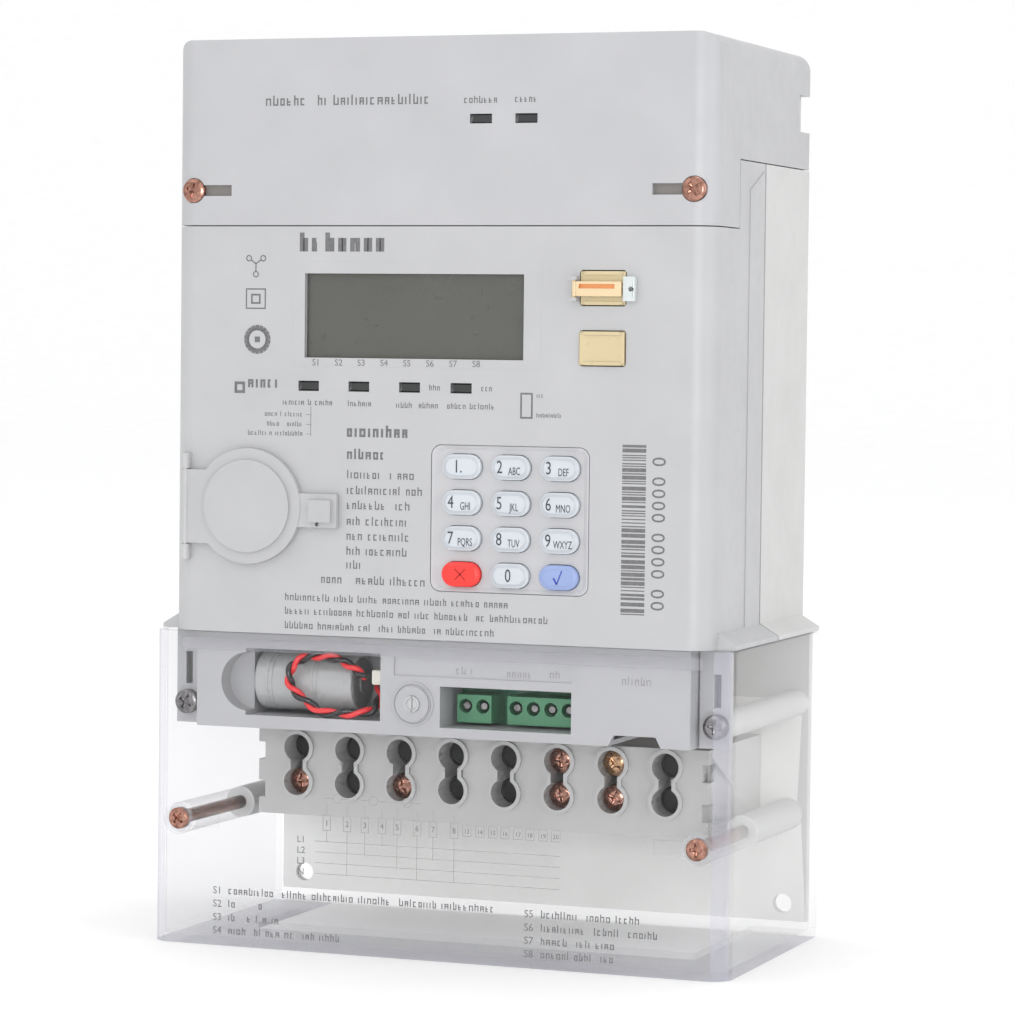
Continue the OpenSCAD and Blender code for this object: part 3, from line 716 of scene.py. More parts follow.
@dataclass
class Print:
    """Printed marks that lie on one plane facing the front.

    Attributes:
        name: Name of the finished piece.
        plane_y: Y of the printed surface in millimetres.
        ink: The ink.
        thickness: Ink thickness in millimetres.
        marks: Lettering made so far.
        verts: Corners of the plates made so far.
        faces: Faces of the plates made so far.
    """

    name: str
    plane_y: float
    ink: Ink
    thickness: float = 0.03
    marks: list[bpy.types.Object] = field(default_factory=list)
    verts: list[Point] = field(default_factory=list)
    faces: list[tuple[int, ...]] = field(default_factory=list)

    def text(
        self, words: str, x: float, z: float, size: float, align: Align = Align.CENTER, turn: float = 0.0,
        spread: float = 1.0, squeeze: float = 1.0
    ) -> None:
        """Print generic characters.

        Args:
            words: The characters.
            x: Anchor X in millimetres.
            z: Baseline Z in millimetres.
            size: Letter size in millimetres.
            align: Which end the anchor holds.
            turn: Turn on the plane in degrees.
            spread: Letter spacing.
            squeeze: Width factor.
        """
        bpy.ops.object.text_add(location=(0, 0, 0))
        obj = bpy.context.object
        obj.data.body = words
        obj.data.size = size * MM
        obj.data.align_x = align.value
        obj.data.space_character = spread
        obj.data.extrude = self.thickness * MM / 2
        obj.data.resolution_u = 3
        pick(obj)
        bpy.ops.object.convert(target="MESH")
        obj = bpy.context.object
        stand = Matrix.Translation((x * MM, (self.plane_y - self.thickness / 2) * MM, z * MM))
        spin = Matrix.Rotation(math.radians(-turn), 4, "Y") @ Matrix.Rotation(math.pi / 2, 4, "X")
        obj.data.transform(stand @ spin @ Matrix.Diagonal((squeeze, 1, 1, 1)))
        self.marks.append(obj)

    def plate(self, corners: Sequence[tuple[float, float]]) -> None:
        """Add one thin four-sided plate of ink.

        Args:
            corners: X and Z of its four corners in millimetres, in order round it.
        """
        start = len(self.verts)
        for y in ((self.plane_y - self.thickness) * MM, self.plane_y * MM):
            self.verts += [(x * MM, y, z * MM) for x, z in corners]
        for quad in BOX_FACES:
            self.faces.append(tuple(start + i for i in quad))

    def bar(self, x: Span, z: Span) -> None:
        """Print a filled rectangle.

        Args:
            x: Low and high X in millimetres.
            z: Low and high Z in millimetres.
        """
        self.plate(((x[0], z[0]), (x[1], z[0]), (x[1], z[1]), (x[0], z[1])))

    def frame(self, x: Span, z: Span, line: float) -> None:
        """Print a hollow rectangle.

        Args:
            x: Low and high X of its outside.
            z: Low and high Z of its outside.
            line: Line width in millimetres.
        """
        self.bar(x, (z[0], z[0] + line))
        self.bar(x, (z[1] - line, z[1]))
        self.bar((x[0], x[0] + line), (z[0] + line, z[1] - line))
        self.bar((x[1] - line, x[1]), (z[0] + line, z[1] - line))

    def stroke(self, a: tuple[float, float], b: tuple[float, float], line: float) -> None:
        """Print a straight line between two points.

        Args:
            a: First X and Z.
            b: Second X and Z.
            line: Line width in millimetres.
        """
        run = Vector((b[0] - a[0], b[1] - a[1]))
        side = Vector((-run.y, run.x)).normalized() * line / 2
        near = [(end[0] - side.x, end[1] - side.y) for end in (a, b)]
        far = [(end[0] + side.x, end[1] + side.y) for end in (b, a)]
        self.plate(near + far)

    def ring(self, x: float, z: float, radius: float, line: float) -> None:
        """Print a ring from short strokes.

        Args:
            x: Centre X.
            z: Centre Z.
            radius: Middle radius.
            line: Line width.
        """
        angles = [math.radians(360.0 * i / RING_STROKES) for i in range(RING_STROKES + 1)]
        points = [(x + radius * math.cos(angle), z + radius * math.sin(angle)) for angle in angles]
        for a, b in zip(points, points[1:]):
            self.stroke(a, b, line)

    def greek(
        self, x: Span, z: float, height: float, seed: int, bold: float = 1.0, words: Sequence[float] = ()
    ) -> None:
        """Print a line of unreadable dummy lettering.

        Args:
            x: Low and high X of the line.
            z: Baseline.
            height: Capital height in millimetres.
            seed: Fixes the pattern.
            bold: Stroke weight factor.
            words: Shares of the line at which a word gap falls.
        """
        rng = random.Random(seed)
        pitch = height * 0.72
        weight = height * 0.15 * bold
        low = height * 0.72
        span = x[1] - x[0]
        cursor = x[0]
        while cursor + pitch * 0.8 <= x[1] + 0.01:
            share = (cursor - x[0]) / span
            if any(abs(share - word) < pitch * 0.5 / span for word in words):
                cursor += pitch * 0.75
                continue
            width = pitch * rng.choice((0.3, 0.66, 0.72, 0.78))
            kind = rng.randrange(7)
            tall = height if kind in (0, 3) else low
            left, right = (cursor, cursor + weight), (cursor + width - weight, cursor + width)
            between = (cursor + weight, cursor + width - weight)
            self.bar(left, (z, z + tall))
            if width > pitch * 0.4:
                if kind not in (2, 5):
                    self.bar(right, (z, z + low))
                if kind in (0, 1, 2, 4, 6):
                    self.bar(between, (z + low - weight, z + low))
                if kind in (1, 2, 3, 5):
                    self.bar(between, (z, z + weight))
                if kind in (4, 5):
                    self.bar(between, (z + low / 2 - weight / 2, z + low / 2 + weight / 2))
            cursor += width + pitch * 0.3

    def done(self, body: str, slot: str) -> bpy.types.Object:
        """Join the marks into one piece and hang it on a body.

        Args:
            body: Body that it rides on.
            slot: The record's material slot.

        Returns:
            The finished print.
        """
        objs = list(self.marks)
        if self.verts:
            mesh = bpy.data.meshes.new(self.name)
            mesh.from_pydata(self.verts, [], self.faces)
            obj = bpy.data.objects.new(self.name, mesh)
            bpy.context.collection.objects.link(obj)
            objs.insert(0, obj)
        piece = merge_into(self.name, objs)
        bpy.ops.object.mode_set(mode="EDIT")
        bpy.ops.mesh.select_all(action="SELECT")
        bpy.ops.mesh.remove_doubles(threshold=0.001 * MM)
        bpy.ops.mesh.normals_make_consistent(inside=False)
        leave_edit()
        dress(piece, self.ink)
        return place(piece, body, slot)


# ---------- screws ----------


class Drive(Enum):
    """Recess in a screw's head."""

    CROSS = "cross"
    SLOT = "slot"


@dataclass(frozen=True)
class Screw:
    """A screw along Y with its head towards the front.

    Attributes:
        head_r: Head radius in millimetres.
        head_t: Head height.
        shank_r: Shank radius.
        shank: Length of the shank behind the head.
        drive: Recess in the head.
        dome: How far the head bulges.
    """

    head_r: float
    head_t: float
    shank_r: float
    shank: float
    drive: Drive = Drive.CROSS
    dome: float = 0.45

    def build(self, name: str) -> bpy.types.Object:
        """Model one screw, its head's face at the origin.

        Args:
            name: Name of the piece.

        Returns:
            The screw.
        """
        r, t = self.head_r, self.head_t
        head = rod(name, (0, (t + self.dome) / 2, 0), Axis.Y, r, t - self.dome, 36)
        inset_and_push(head, lambda c, n: n.y < -0.9, r * 0.24, -self.dome * 0.55)
        inset_and_push(head, lambda c, n: n.y < -0.9, r * 0.26, -self.dome * 0.3)
        inset_and_push(head, lambda c, n: n.y < -0.9, r * 0.2, -self.dome * 0.15)
        depth = t * 0.55
        long, thin = r * 0.6, r * 0.14
        tools = [slab("blade", (-long, long), (-1, depth), (-thin, thin))]
        if self.drive is Drive.CROSS:
            tools.append(slab("blade", (-thin, thin), (-1, depth), (-long, long)))
            core = slab("core", (-thin * 1.9, thin * 1.9), (-1, depth * 1.1), (-thin * 1.9, thin * 1.9))
            core.data.transform(Matrix.Rotation(math.radians(45), 4, "Y"))
            tools.append(core)
        else:
            pick_faces(tools[0], lambda c, n: abs(n.x) > 0.9)
            bpy.ops.transform.resize(value=(1.9, 1, 1))
            leave_edit()
        carve(head, *tools)
        soften(head, 0.12, 2, 40)
        shank = rod("shank", (0, t + self.shank / 2 - 0.01, 0), Axis.Y, self.shank_r, self.shank, 24)
        soften(shank, 0.3, 1)
        return merge_into(name, [head, shank])


# ---------- shells ----------


@dataclass
class Shells:
    """Rear housing, front cover, modem cover and their side ribs.

    Attributes:
        edge: Radius of the moulded edges in millimetres.
        rib_y: Front and back of the raised band on each side.
        rib_z: Bottom and top of the band.
        rib_height: How far the band stands out.
    """

    edge: float = 0.4
    rib_y: Span = (-57.0, -44.2)
    rib_z: Span = (-35.6, 91.0)
    rib_height: float = 0.7

    def build(self) -> None:
        """Make and place every shell."""
        rear = dress(resurface("rear_shell", "rear_housing", self.edge), HOUSING, PLATE_PAINTED_LIGHT)
        # The back plate's front faces below Z -84 take the lighter material: painted light in the shade under
        # the terminal block.
        for face in rear.data.polygons:
            centre = face.center / MM
            face.material_index = 1 if centre.z < -84 and face.normal.y < -0.5 else 0
        place(rear, "root", "housing", "rear_housing")
        front = dress(resurface("front_shell", "front_cover", self.edge), SHELL)
        place(front, "root", "shell", "front_cover")
        cap = dress(resurface("modem_lid", "modem_cover", self.edge), CAP, SLOT_PAINTED_SHADE)
        for face in cap.data.polygons:
            centre = face.center / MM
            # The front-facing floor faces inside each screw slot take the dark material: painted shade in the
            # slot.
            in_slot = 60.8 < abs(centre.x) < 72 and abs(centre.z - MODEM_SCREW_Z) < 1.9
            face.material_index = 1 if in_slot and centre.y > -90.7 and face.normal.y < -0.5 else 0
        place(cap, "modem_cover", "shell", "modem_cover")
        coat_node("housing_gasket", GASKET)
        coat_node("hanger_plate", ZINC)
        for side, name in ((-1, "left"), (1, "right")):
            self.rib(side, name)
            self.slot_shade_strip(side, name)
        self.modem_screws()

    def rib(self, side: int, name: str) -> None:
        """Raise a long band with a slanted top on one side of the front cover.

        Args:
            side: -1 for left, 1 for right.
            name: Word for the piece's name.
        """
        outer = 79.0 + self.rib_height
        x = (78.9, outer) if side > 0 else (-outer, -78.9)
        rib = slab(f"side_rib_{name}", x, self.rib_y, self.rib_z)
        pick(rib)
        bpy.ops.object.mode_set(mode="EDIT")
        bpy.ops.mesh.select_mode(type="VERT")
        bpy.ops.mesh.select_all(action="DESELECT")
        leave_edit()
        for vert in rib.data.vertices:
            vert.select = vert.co.z > 0 and vert.co.y < -0.05
        bpy.ops.object.mode_set(mode="EDIT")
        bpy.ops.transform.translate(value=(0, 0, -5.5 * MM))
        leave_edit()
        inset_and_push(rib, lambda c, n: n.x * side > 0.9, 1.3, 0)
        pick_faces(rib, lambda c, n: n.x * side > 0.9 and abs(c.y + 50.6) < 5)
        bpy.ops.transform.translate(value=(-side * 0.3 * MM, 0, 0))
        leave_edit()
        soften(rib, 0.25, 2)
        dress(rib, SHELL)
        place(rib, "root", "shell")

    def slot_shade_strip(self, side: int, name: str) -> None:
        """Close the slot in one side tab from behind with a dark strip: painted shade seen through the slot.

        Args:
            side: -1 for left, 1 for right.
            name: Word for the piece's name.
        """
        x = sorted((side * 76.7, side * 79.6))
        strip = slab(f"slot_shade_strip_{name}", (x[0], x[1]), (-74.9, -74.4), (-54.5, -44.5))
        inset_and_push(strip, lambda c, n: n.y < -0.9, 0.5, 0.15)
        soften(strip, 0.1, 1)
        place(dress(strip, GASKET), "root", "shell")

    def modem_screws(self) -> None:
        """Put the two copper-toned screws in the modem cover."""
        master = Screw(3.3, 1.9, 1.5, 22.0).build("modem_screw")
        heads = [(x, -88.5, MODEM_SCREW_Z) for x in (-MODEM_SCREW_X, MODEM_SCREW_X)]
        made = copies(master, heads, [20, 55])
        piece = dress(merge_into("modem_lid_screws", made), COPPER_SCREW)
        place(piece, "modem_cover", "screw_copper", "modem_cover_screws")


# ---------- display and windows ----------


@dataclass
class Display:
    """Display glass behind the printed film of the front, and its lens.

    Attributes:
        film_x: Width of the film.
        film_z: Height of the film.
        view_x: Width of the visible glass.
        view_z: Height of the visible glass.
    """

    film_x: Span = (-42.35, 30.55)
    film_z: Span = (36.1, 64.9)
    view_x: Span = (-38.9, 25.4)
    view_z: Span = (38.5, 61.6)

    def build(self) -> None:
        """Make the film, the glass and the lens."""
        coat_node("display_lens", LENS)
        film = slab("display_film", self.film_x, (-88.05, -87.85), self.film_z)
        window = slab("window", self.view_x, (-89, -87), self.view_z)
        carve(film, window)
        soften(film, 0.03, 1)
        place(dress(film, SHELL), "root", "shell")
        glass = slab("display_glass", (-38.7, 26.9), (-86.5, -85.4), (37.7, 62.8))
        inset_and_push(glass, lambda c, n: n.y < -0.9, 0.8, -0.15)
        soften(glass, 0.1, 2)
        dress(glass, LCD)
        carrier = slab("carrier", (-42.3, 30.5), (-81.9, -78.1), (34.1, 66.9))
        inset_and_push(carrier, lambda c, n: n.y < -0.9, 2.0, -3.4)
        soften(carrier, 0.3, 2)
        dress(carrier, BEZEL)
        piece = merge_into("display_unit", [glass, carrier])
        place(piece, "root", "display", "display_module")


@dataclass
class Windows:
    """Small smoked windows with a lamp behind each.

    Attributes:
        status_x: Middle of each status window.
        modem_x: Middle of each modem window.
    """

    status_x: tuple[float, ...] = (-37.6, -22.6, -7.6, 7.5)
    modem_x: tuple[float, ...] = (12.4, 25.5)

    def window(self, x: float, z: float, half: float, back: float) -> bpy.types.Object:
        """Model one window with a bevelled pane and a light pipe behind it.

        Args:
            x: Middle X.
            z: Middle Z.
            half: Half width of the pane.
            back: Y of the pipe's end.

        Returns:
            The window.
        """
        pane = slab("pane", (x - half, x + half), (-87.7, -85.5), (z - 1.25, z + 1.25))
        inset_and_push(pane, lambda c, n: n.y < -0.9, 0.35, 0.5)
        soften(pane, 0.1, 2)
        pipe = slab("pipe", (x - 3.9, x + 3.9), (-85.4, back), (z - 1.9, z + 1.9))
        soften(pipe, 0.3, 1)
        return merge_into("window", [pane, pipe])

    def build(self) -> None:
        """Make and place both rows of windows."""
        status = [self.window(x, 30.7, 3.0, -78.1) for x in self.status_x]
        place(dress(merge_into("status_panes", status), DARK), "root", "window", "status_windows")
        modem = [self.window(x, 103.5, 3.1, -84.1) for x in self.modem_x]
        place(dress(merge_into("modem_panes", modem), DARK), "modem_cover", "window", "modem_windows")


# ---------- keypad and buttons ----------


@dataclass
class Keypad:
    """Twelve domed keys on a soft mat.

    Attributes:
        first: X and Z of the top left key.
        pitch: Column and row distance.
        size: Width and height of a key.
        hole: Width and height of the hole round a key.
        face_y: Y of the crown of a key.
        labels: Node, figure and letters of each key.
    """

    first: tuple[float, float] = (8.2, 9.5)
    pitch: tuple[float, float] = (14.1, 9.75)
    size: tuple[float, float] = (11.1, 6.7)
    hole: tuple[float, float] = (11.4, 7.0)
    face_y: float = -89.2
    labels: tuple[tuple[str, str, str], ...] = (
        ("key_1", "1.", ""), ("key_2", "2", "ABC"), ("key_3", "3", "DEF"),
        ("key_4", "4", "GHI"), ("key_5", "5", "JKL"), ("key_6", "6", "MNO"),
        ("key_7", "7", "PQRS"), ("key_8", "8", "TUV"), ("key_9", "9", "WXYZ"),
        ("key_cancel", "", ""), ("key_0", "0", ""), ("key_enter", "", ""))

    def oval(self, name: str, size: tuple[float, float], y: Span) -> bpy.types.Object:
        """Draw a round bar along Y out to an oval.

        Args:
            name: Name of the piece.
            size: Width and height.
            y: Front and back.

        Returns:
            The oval bar.
        """
        width, height = size
        radius = height / 2
        body = rod(name, (0, (y[0] + y[1]) / 2, 0), Axis.Y, radius, y[1] - y[0], 48)
        for side in (-1, 1):
            pick(body)
            bpy.ops.object.mode_set(mode="EDIT")
            bpy.ops.mesh.select_mode(type="VERT")
            bpy.ops.mesh.select_all(action="DESELECT")
            leave_edit()
            for vert in body.data.vertices:
                vert.select = vert.co.x * side > 0.0001
            bpy.ops.object.mode_set(mode="EDIT")
            bpy.ops.transform.translate(value=(side * (width / 2 - radius) * MM, 0, 0))
            leave_edit()
        return body

    def cap(self) -> bpy.types.Object:
        """Model one key at the origin with a soft crown.

        Returns:
            The key.
        """
        body = self.oval("key_cap", self.size, (self.face_y + 0.5, -83.8))
        inset_and_push(body, lambda c, n: n.y < -0.9, 0.35, -0.22)
        inset_and_push(body, lambda c, n: n.y < -0.9, 0.55, -0.16)
        inset_and_push(body, lambda c, n: n.y < -0.9, 0.8, -0.09)
        inset_and_push(body, lambda c, n: n.y < -0.9, 0.9, -0.03)
        add_modifier(
            body, "BEVEL", width=0.18 * MM, segments=3, limit_method="ANGLE", angle_limit=math.radians(25))
        pick(body)
        bpy.ops.object.shade_smooth_by_angle(angle=math.radians(60))
        return body

    def build(self) -> None:
        """Make the mat, the keys and their figures."""
        spots = [
            (self.first[0] + (i % 3) * self.pitch[0], self.first[1] - (i // 3) * self.pitch[1])
            for i in range(12)]
        self.mat(spots)
        caps = copies(self.cap(), [(x, 0, z) for x, z in spots])
        tints = {"key_cancel": (KEY_RED, "key_red"), "key_enter": (KEY_BLUE, "key_blue")}
        for (node, figure, letters), cap, (x, z) in zip(self.labels, caps, spots):
            kind, slot = tints.get(node, (KEY, "key"))
            cap.name = f"{node}_cap"
            place(dress(cap, kind), node, slot, node)
            self.legend(node, figure, letters, x, z, slot)

    def mat(self, spots: Sequence[tuple[float, float]]) -> None:
        """Mould the mat: a raised rounded rim, a sunk field and a hole for each key.

        Args:
            spots: X and Z of each key.
        """
        pad = slab("keypad_pad", (-0.8, 44.6), (-87.98, -87.02), (-24.5, 15.2))
        pick(pad)
        bpy.ops.object.mode_set(mode="EDIT")
        bpy.ops.mesh.select_mode(type="EDGE")
        bpy.ops.mesh.select_all(action="DESELECT")
        leave_edit()
        for edge in pad.data.edges:
            a, b = (pad.data.vertices[i].co for i in edge.vertices)
            edge.select = abs(a.y - b.y) > 0.5 * MM
        bpy.ops.object.mode_set(mode="EDIT")
        bpy.ops.mesh.bevel(offset=2.8 * MM, segments=8)
        leave_edit()
        inset_and_push(pad, lambda c, n: n.y < -0.9, 0.4, 0.0)
        inset_and_push(pad, lambda c, n: n.y < -0.9 and abs(c.x - 21.9) < 1, 1.1, 0.62)
        holes = copies(self.oval("hole", self.hole, (-90, -86)), [(x, 0, z) for x, z in spots])
        carve(pad, merge_into("holes", holes))
        soften(pad, 0.18, 2, 25)
        place(dress(pad, MAT), "root", "keypad", "keypad_mat")

    def legend(self, node: str, figure: str, letters: str, x: float, z: float, slot: str) -> None:
        """Print a key's figure, letters or sign.

        Args:
            node: The key.
            figure: Large figure.
            letters: Small letters beside it.
            x: Middle of the key.
            z: Middle of the key.
            slot: Material slot of the key.
        """
        ink = {"key_cancel": RED_INK, "key_enter": BLUE_INK}.get(node, KEY_INK)
        mark = Print(f"{node}_figure", self.face_y + 0.03, ink, 0.08)
        if node == "key_cancel":
            mark.stroke((x - 1.5, z - 1.5), (x + 1.5, z + 1.5), 0.36)
            mark.stroke((x - 1.5, z + 1.5), (x + 1.5, z - 1.5), 0.36)
        elif node == "key_enter":
            mark.stroke((x - 1.2, z - 0.1), (x - 0.2, z - 1.8), 0.5)
            mark.stroke((x - 0.25, z - 1.8), (x + 1.2, z + 1.9), 0.32)
        elif letters:
            mark.text(figure, x - 2.9, z - 1.5, 4.9, squeeze=0.74)
            mark.text(letters, x + 1.35, z - 1.9, 3.0, squeeze=0.6)
        else:
            mark.text(figure, x - (0.9 if figure == "1." else 0.2), z - 1.6, 5.0, squeeze=0.74)
        mark.done(node, slot)


@dataclass
class PushButtons:
    """Two cream push buttons, the sealable reset lever and its catch.

    Attributes:
        x: Sides of the buttons.
        scroll_z: Lower and upper edge of the lower button.
        reset_z: Lower and upper edge of the upper button.
    """

    x: Span = (41.6, 54.3)
    scroll_z: Span = (37.4, 46.5)
    reset_z: Span = (53.5, 62.6)

    def button(self, name: str, z: Span, face: float, dish: float) -> bpy.types.Object:
        """Model one button with a rolled rim and a dished face.

        Args:
            name: Name of the piece.
            z: Lower and upper edge.
            face: Y of the face.
            dish: Depth of the dish.

        Returns:
            The button.
        """
        button = slab(name, self.x, (face, -83.8), z)
        soften(button, 0.22, 3, 60)
        middle = sum(self.x) / 2
        for inset, share in ((0.9, 0.15), (0.9, 0.35), (0.9, 0.3), (0.9, 0.15)):
            inset_and_push(button, lambda c, n: n.y < -0.9 and abs(c.x - middle) < 0.3, inset, dish * share)
        pick(button)
        bpy.ops.object.shade_smooth_by_angle(angle=math.radians(40))
        return button

    def build(self) -> None:
        """Make and place the buttons, lever and catch."""
        scroll = self.button("scroll_cap", self.scroll_z, -88.8, 0.12)
        place(dress(scroll, BUTTON), "scroll_button", "button", "scroll_button")
        reset = self.button("reset_cap", self.reset_z, -88.2, 0.06)
        place(dress(reset, BUTTON), "reset_button", "button", "reset_button")
        self.lever()
        catch = slab("seal_catch", (54.1, 57.5), (-90.1, -88.05), (54.5, 61.2))
        inset_and_push(catch, lambda c, n: n.y < -0.9, 0.5, -0.08)
        carve(catch, rod("hole", (56.3, -89, 57.8), Axis.Y, 0.6, 4, 20))
        soften(catch, 0.35, 3)
        place(dress(catch, TAB), "root", "seal", "seal_tab")

    def lever(self) -> None:
        """Model the lever that bars the reset button: a bar with a long slot on a pin."""
        bar = slab("reset_bar", (41.0, 53.8), (-90.5, -88.85), (55.8, 59.85))
        slot = slab("slot", (41.9, 52.0), (-91, -89.7), (57.9, 59.1))
        soften(bar, 0.25, 2)
        dress(bar, LEVER, LEVER_DARK)
        slot.data.materials.append(finish(LEVER_DARK))
        carve(bar, slot)
        for face in bar.data.polygons:
            centre = face.center / MM
            inside = 41.8 < centre.x < 52.1 and 57.85 < centre.z < 59.15 and centre.y > -90.45
            face.material_index = 1 if inside else 0
        barrel = rod("barrel", (40.5, -89.6, 57.8), Axis.Z, 0.8, 4.0, 28)
        soften(barrel, 0.2, 2)
        dress(barrel, LEVER)
        pin = rod("pin", (40.2, -89.7, 57.8), Axis.Z, 0.5, 6.3, 20)
        dress(pin, LEVER)
        piece = merge_into("reset_lever_bar", [bar, barrel, pin])
        place(piece, "reset_lever", "lever", "reset_lever")


# ---------- optical port ----------


@dataclass
class OpticalPort:
    """Round door over the optical port with a leaf hinge and a clip.

    Attributes:
        centre: X and Z of the port.
    """

    centre: tuple[float, float] = (-55.0, -2.8)

    def build(self) -> None:
        """Make the door and dress the seat behind it."""
        door = dress(resurface("port_door", "optical_door", 0.3, 3), DOOR)
        place(door, "optical_door", "shell", "optical_door")
        coat_node("door_pin", ZINC)
        coat_node("optical_ring", ZINC)
        x, z = self.centre
        lamps = [rod("lamp", (x + shift, -80.3, z), Axis.Y, 2.45, 1.1, 32) for shift in (-3.3, 3.3)]
        for lamp in lamps:
            inset_and_push(lamp, lambda c, n: n.y < -0.9, 0.5, 0.15)
            soften(lamp, 0.2, 2)
        place(dress(merge_into("port_lamps", lamps), DARK), "root", "black_part", "optical_elements")


# ---------- battery ----------


@dataclass
class Battery:
    """Shrink-wrapped cell with a twisted pair of leads.

    Attributes:
        start: X of the wrapped end.
        length: Length of the cell.
        radius: Radius of the cell.
        middle: Y and Z of its axis.
        seams: X of the raised rings under the wrap.
    """

    start: float = -56.5
    length: float = 30.0
    radius: float = 8.5
    middle: tuple[float, float] = (-73.3, -52.1)
    seams: tuple[float, ...] = (-52.5, -39.0)

    def cell(self) -> bpy.types.Object:
        """Turn the cell: wrap, rings and the bare disc at its end.

        Returns:
            The cell.
        """
        y, z = self.middle
        end = self.start + self.length
        wrap = rod("wrap", ((self.start + end) / 2, y, z), Axis.X, self.radius - 0.25, self.length, 64)
        pick_faces(wrap, lambda c, n: n.x > 0.9)
        bpy.ops.mesh.inset(thickness=1.1 * MM)
        bpy.ops.transform.translate(value=(-0.5 * MM, 0, 0))
        leave_edit()
        soften(wrap, 1.1, 4, 40)
        dress(wrap, SHRINK)
        parts = [wrap]
        for x in self.seams:
            for offset, wide in ((0.0, 0.9), (1.5, 0.45)):
                ring = rod("ring", (x + offset, y, z), Axis.X, self.radius - 0.04, wide, 64)
                soften(ring, 0.18, 2)
                parts.append(dress(ring, SHRINK))
        disc = rod("disc", (end - 0.35, y, z), Axis.X, self.radius - 1.5, 0.5, 48)
        inset_and_push(disc, lambda c, n: n.x > 0.9, 0.6, 0.0)
        parts.append(dress(disc, CELL_END))
        nub = rod("nub", (end + 0.1, y, z), Axis.X, 2.9, 0.8, 32)
        soften(nub, 0.25, 2)
        parts.append(dress(nub, CELL_END))
        return merge_into("battery_cell", parts)

    def build(self) -> None:
        """Make and place the battery, its plug and leads."""
        place(self.cell(), "root", "cell", "battery")
        plug = slab("plug_body", (-20.6, -17.3), (-81.6, -78.6), (-51.6, -47.6))
        inset_and_push(plug, lambda c, n: n.y < -0.9, 0.7, 0.5)
        soften(plug, 0.25, 2)
        place(dress(plug, PLUG), "root", "plug", "battery_plug")
        for slot, kind in (("lead_red", LEAD_RED), ("lead_black", LEAD_BLACK)):
            node = f"battery_{slot}"
            lead = resurface(f"{node}_wire", node, 0.0)
            pick(lead)
            bpy.ops.object.shade_smooth_by_angle(angle=math.radians(80))
            add_modifier(lead, "SUBSURF", levels=1, render_levels=1)
            add_modifier(lead, "DISPLACE", mid_level=0.0, strength=0.22 * MM)
            place(dress(lead, kind), "root", slot, node)


# ---------- signal terminals ----------


@dataclass
class SignalTerminals:
    """Green pluggable terminals with slotted screws, in the deck's window.

    Attributes:
        starts: Left edge and number of ways of each block.
        pitch: Step from one way to the next.
        screw_z: Z of the screws.
        plunger_at: X and Z of the tamper plunger beside them.
    """

    starts: tuple[tuple[float, int], ...] = ((2.6, 2), (17.4, 4))
    pitch: float = 5.08
    screw_z: float = -56.8
    plunger_at: tuple[float, float] = (-7.2, -56.1)

    def build(self) -> None:
        """Make and place the green blocks, their screws, board and plunger."""
        for node in ("aux_terminal_2way", "aux_terminal_4way"):
            body = dress(resurface(f"{node}_body", node, 0.25, 2), GREEN)
            place(body, "root", "terminal_green", node)
        spots = [
            (x + (i + 0.5) * self.pitch, -76.35, self.screw_z)
            for x, count in self.starts for i in range(count)]
        master = Screw(1.78, 1.5, 1.2, 4.0, Drive.SLOT, 0.2).build("signal_screw")
        turns = [5, 62, 75, 50, 20, 100]
        piece = dress(merge_into("signal_screws", copies(master, spots, turns)), STEEL)
        place(piece, "root", "steel", "aux_screws")
        coat_node("aux_board", BOARD)
        coat_node("tamper_switch", BLACK_PART)
        self.plunger()

    def plunger(self) -> None:
        """Turn the tamper plunger: a cap with a dimple in a stepped collar."""
        x, z = self.plunger_at
        stem = rod("plunger_cap", (x, -81.95, z), Axis.Y, 2.28, 7.0, 40)
        inset_and_push(stem, lambda c, n: n.y < -0.9, 0.5, 0.0)
        inset_and_push(stem, lambda c, n: n.y < -0.9 and abs(c.x - x) < 0.3, 0.35, 0.7)
        soften(stem, 0.3, 3)
        place(dress(stem, PEARL), "tamper_plunger", "seal", "tamper_plunger")
        collar = rod("plunger_collar", (x, -84.15, z), Axis.Y, 6.1, 0.6, 64)
        for inset, push in ((0.6, 0.0), (0.1, 0.35), (0.5, 0.0), (0.1, -0.5), (0.6, 0.0), (0.1, 0.35)):
            inset_and_push(collar, lambda c, n: n.y < -0.9 and abs(c.x - x) < 0.2, inset, push)
        carve(collar, rod("bore", (x, -85, z), Axis.Y, 3.1, 4, 40))
        soften(collar, 0.15, 2)
        place(dress(collar, SHELL), "root", "shell")


# ---------- main terminals ----------


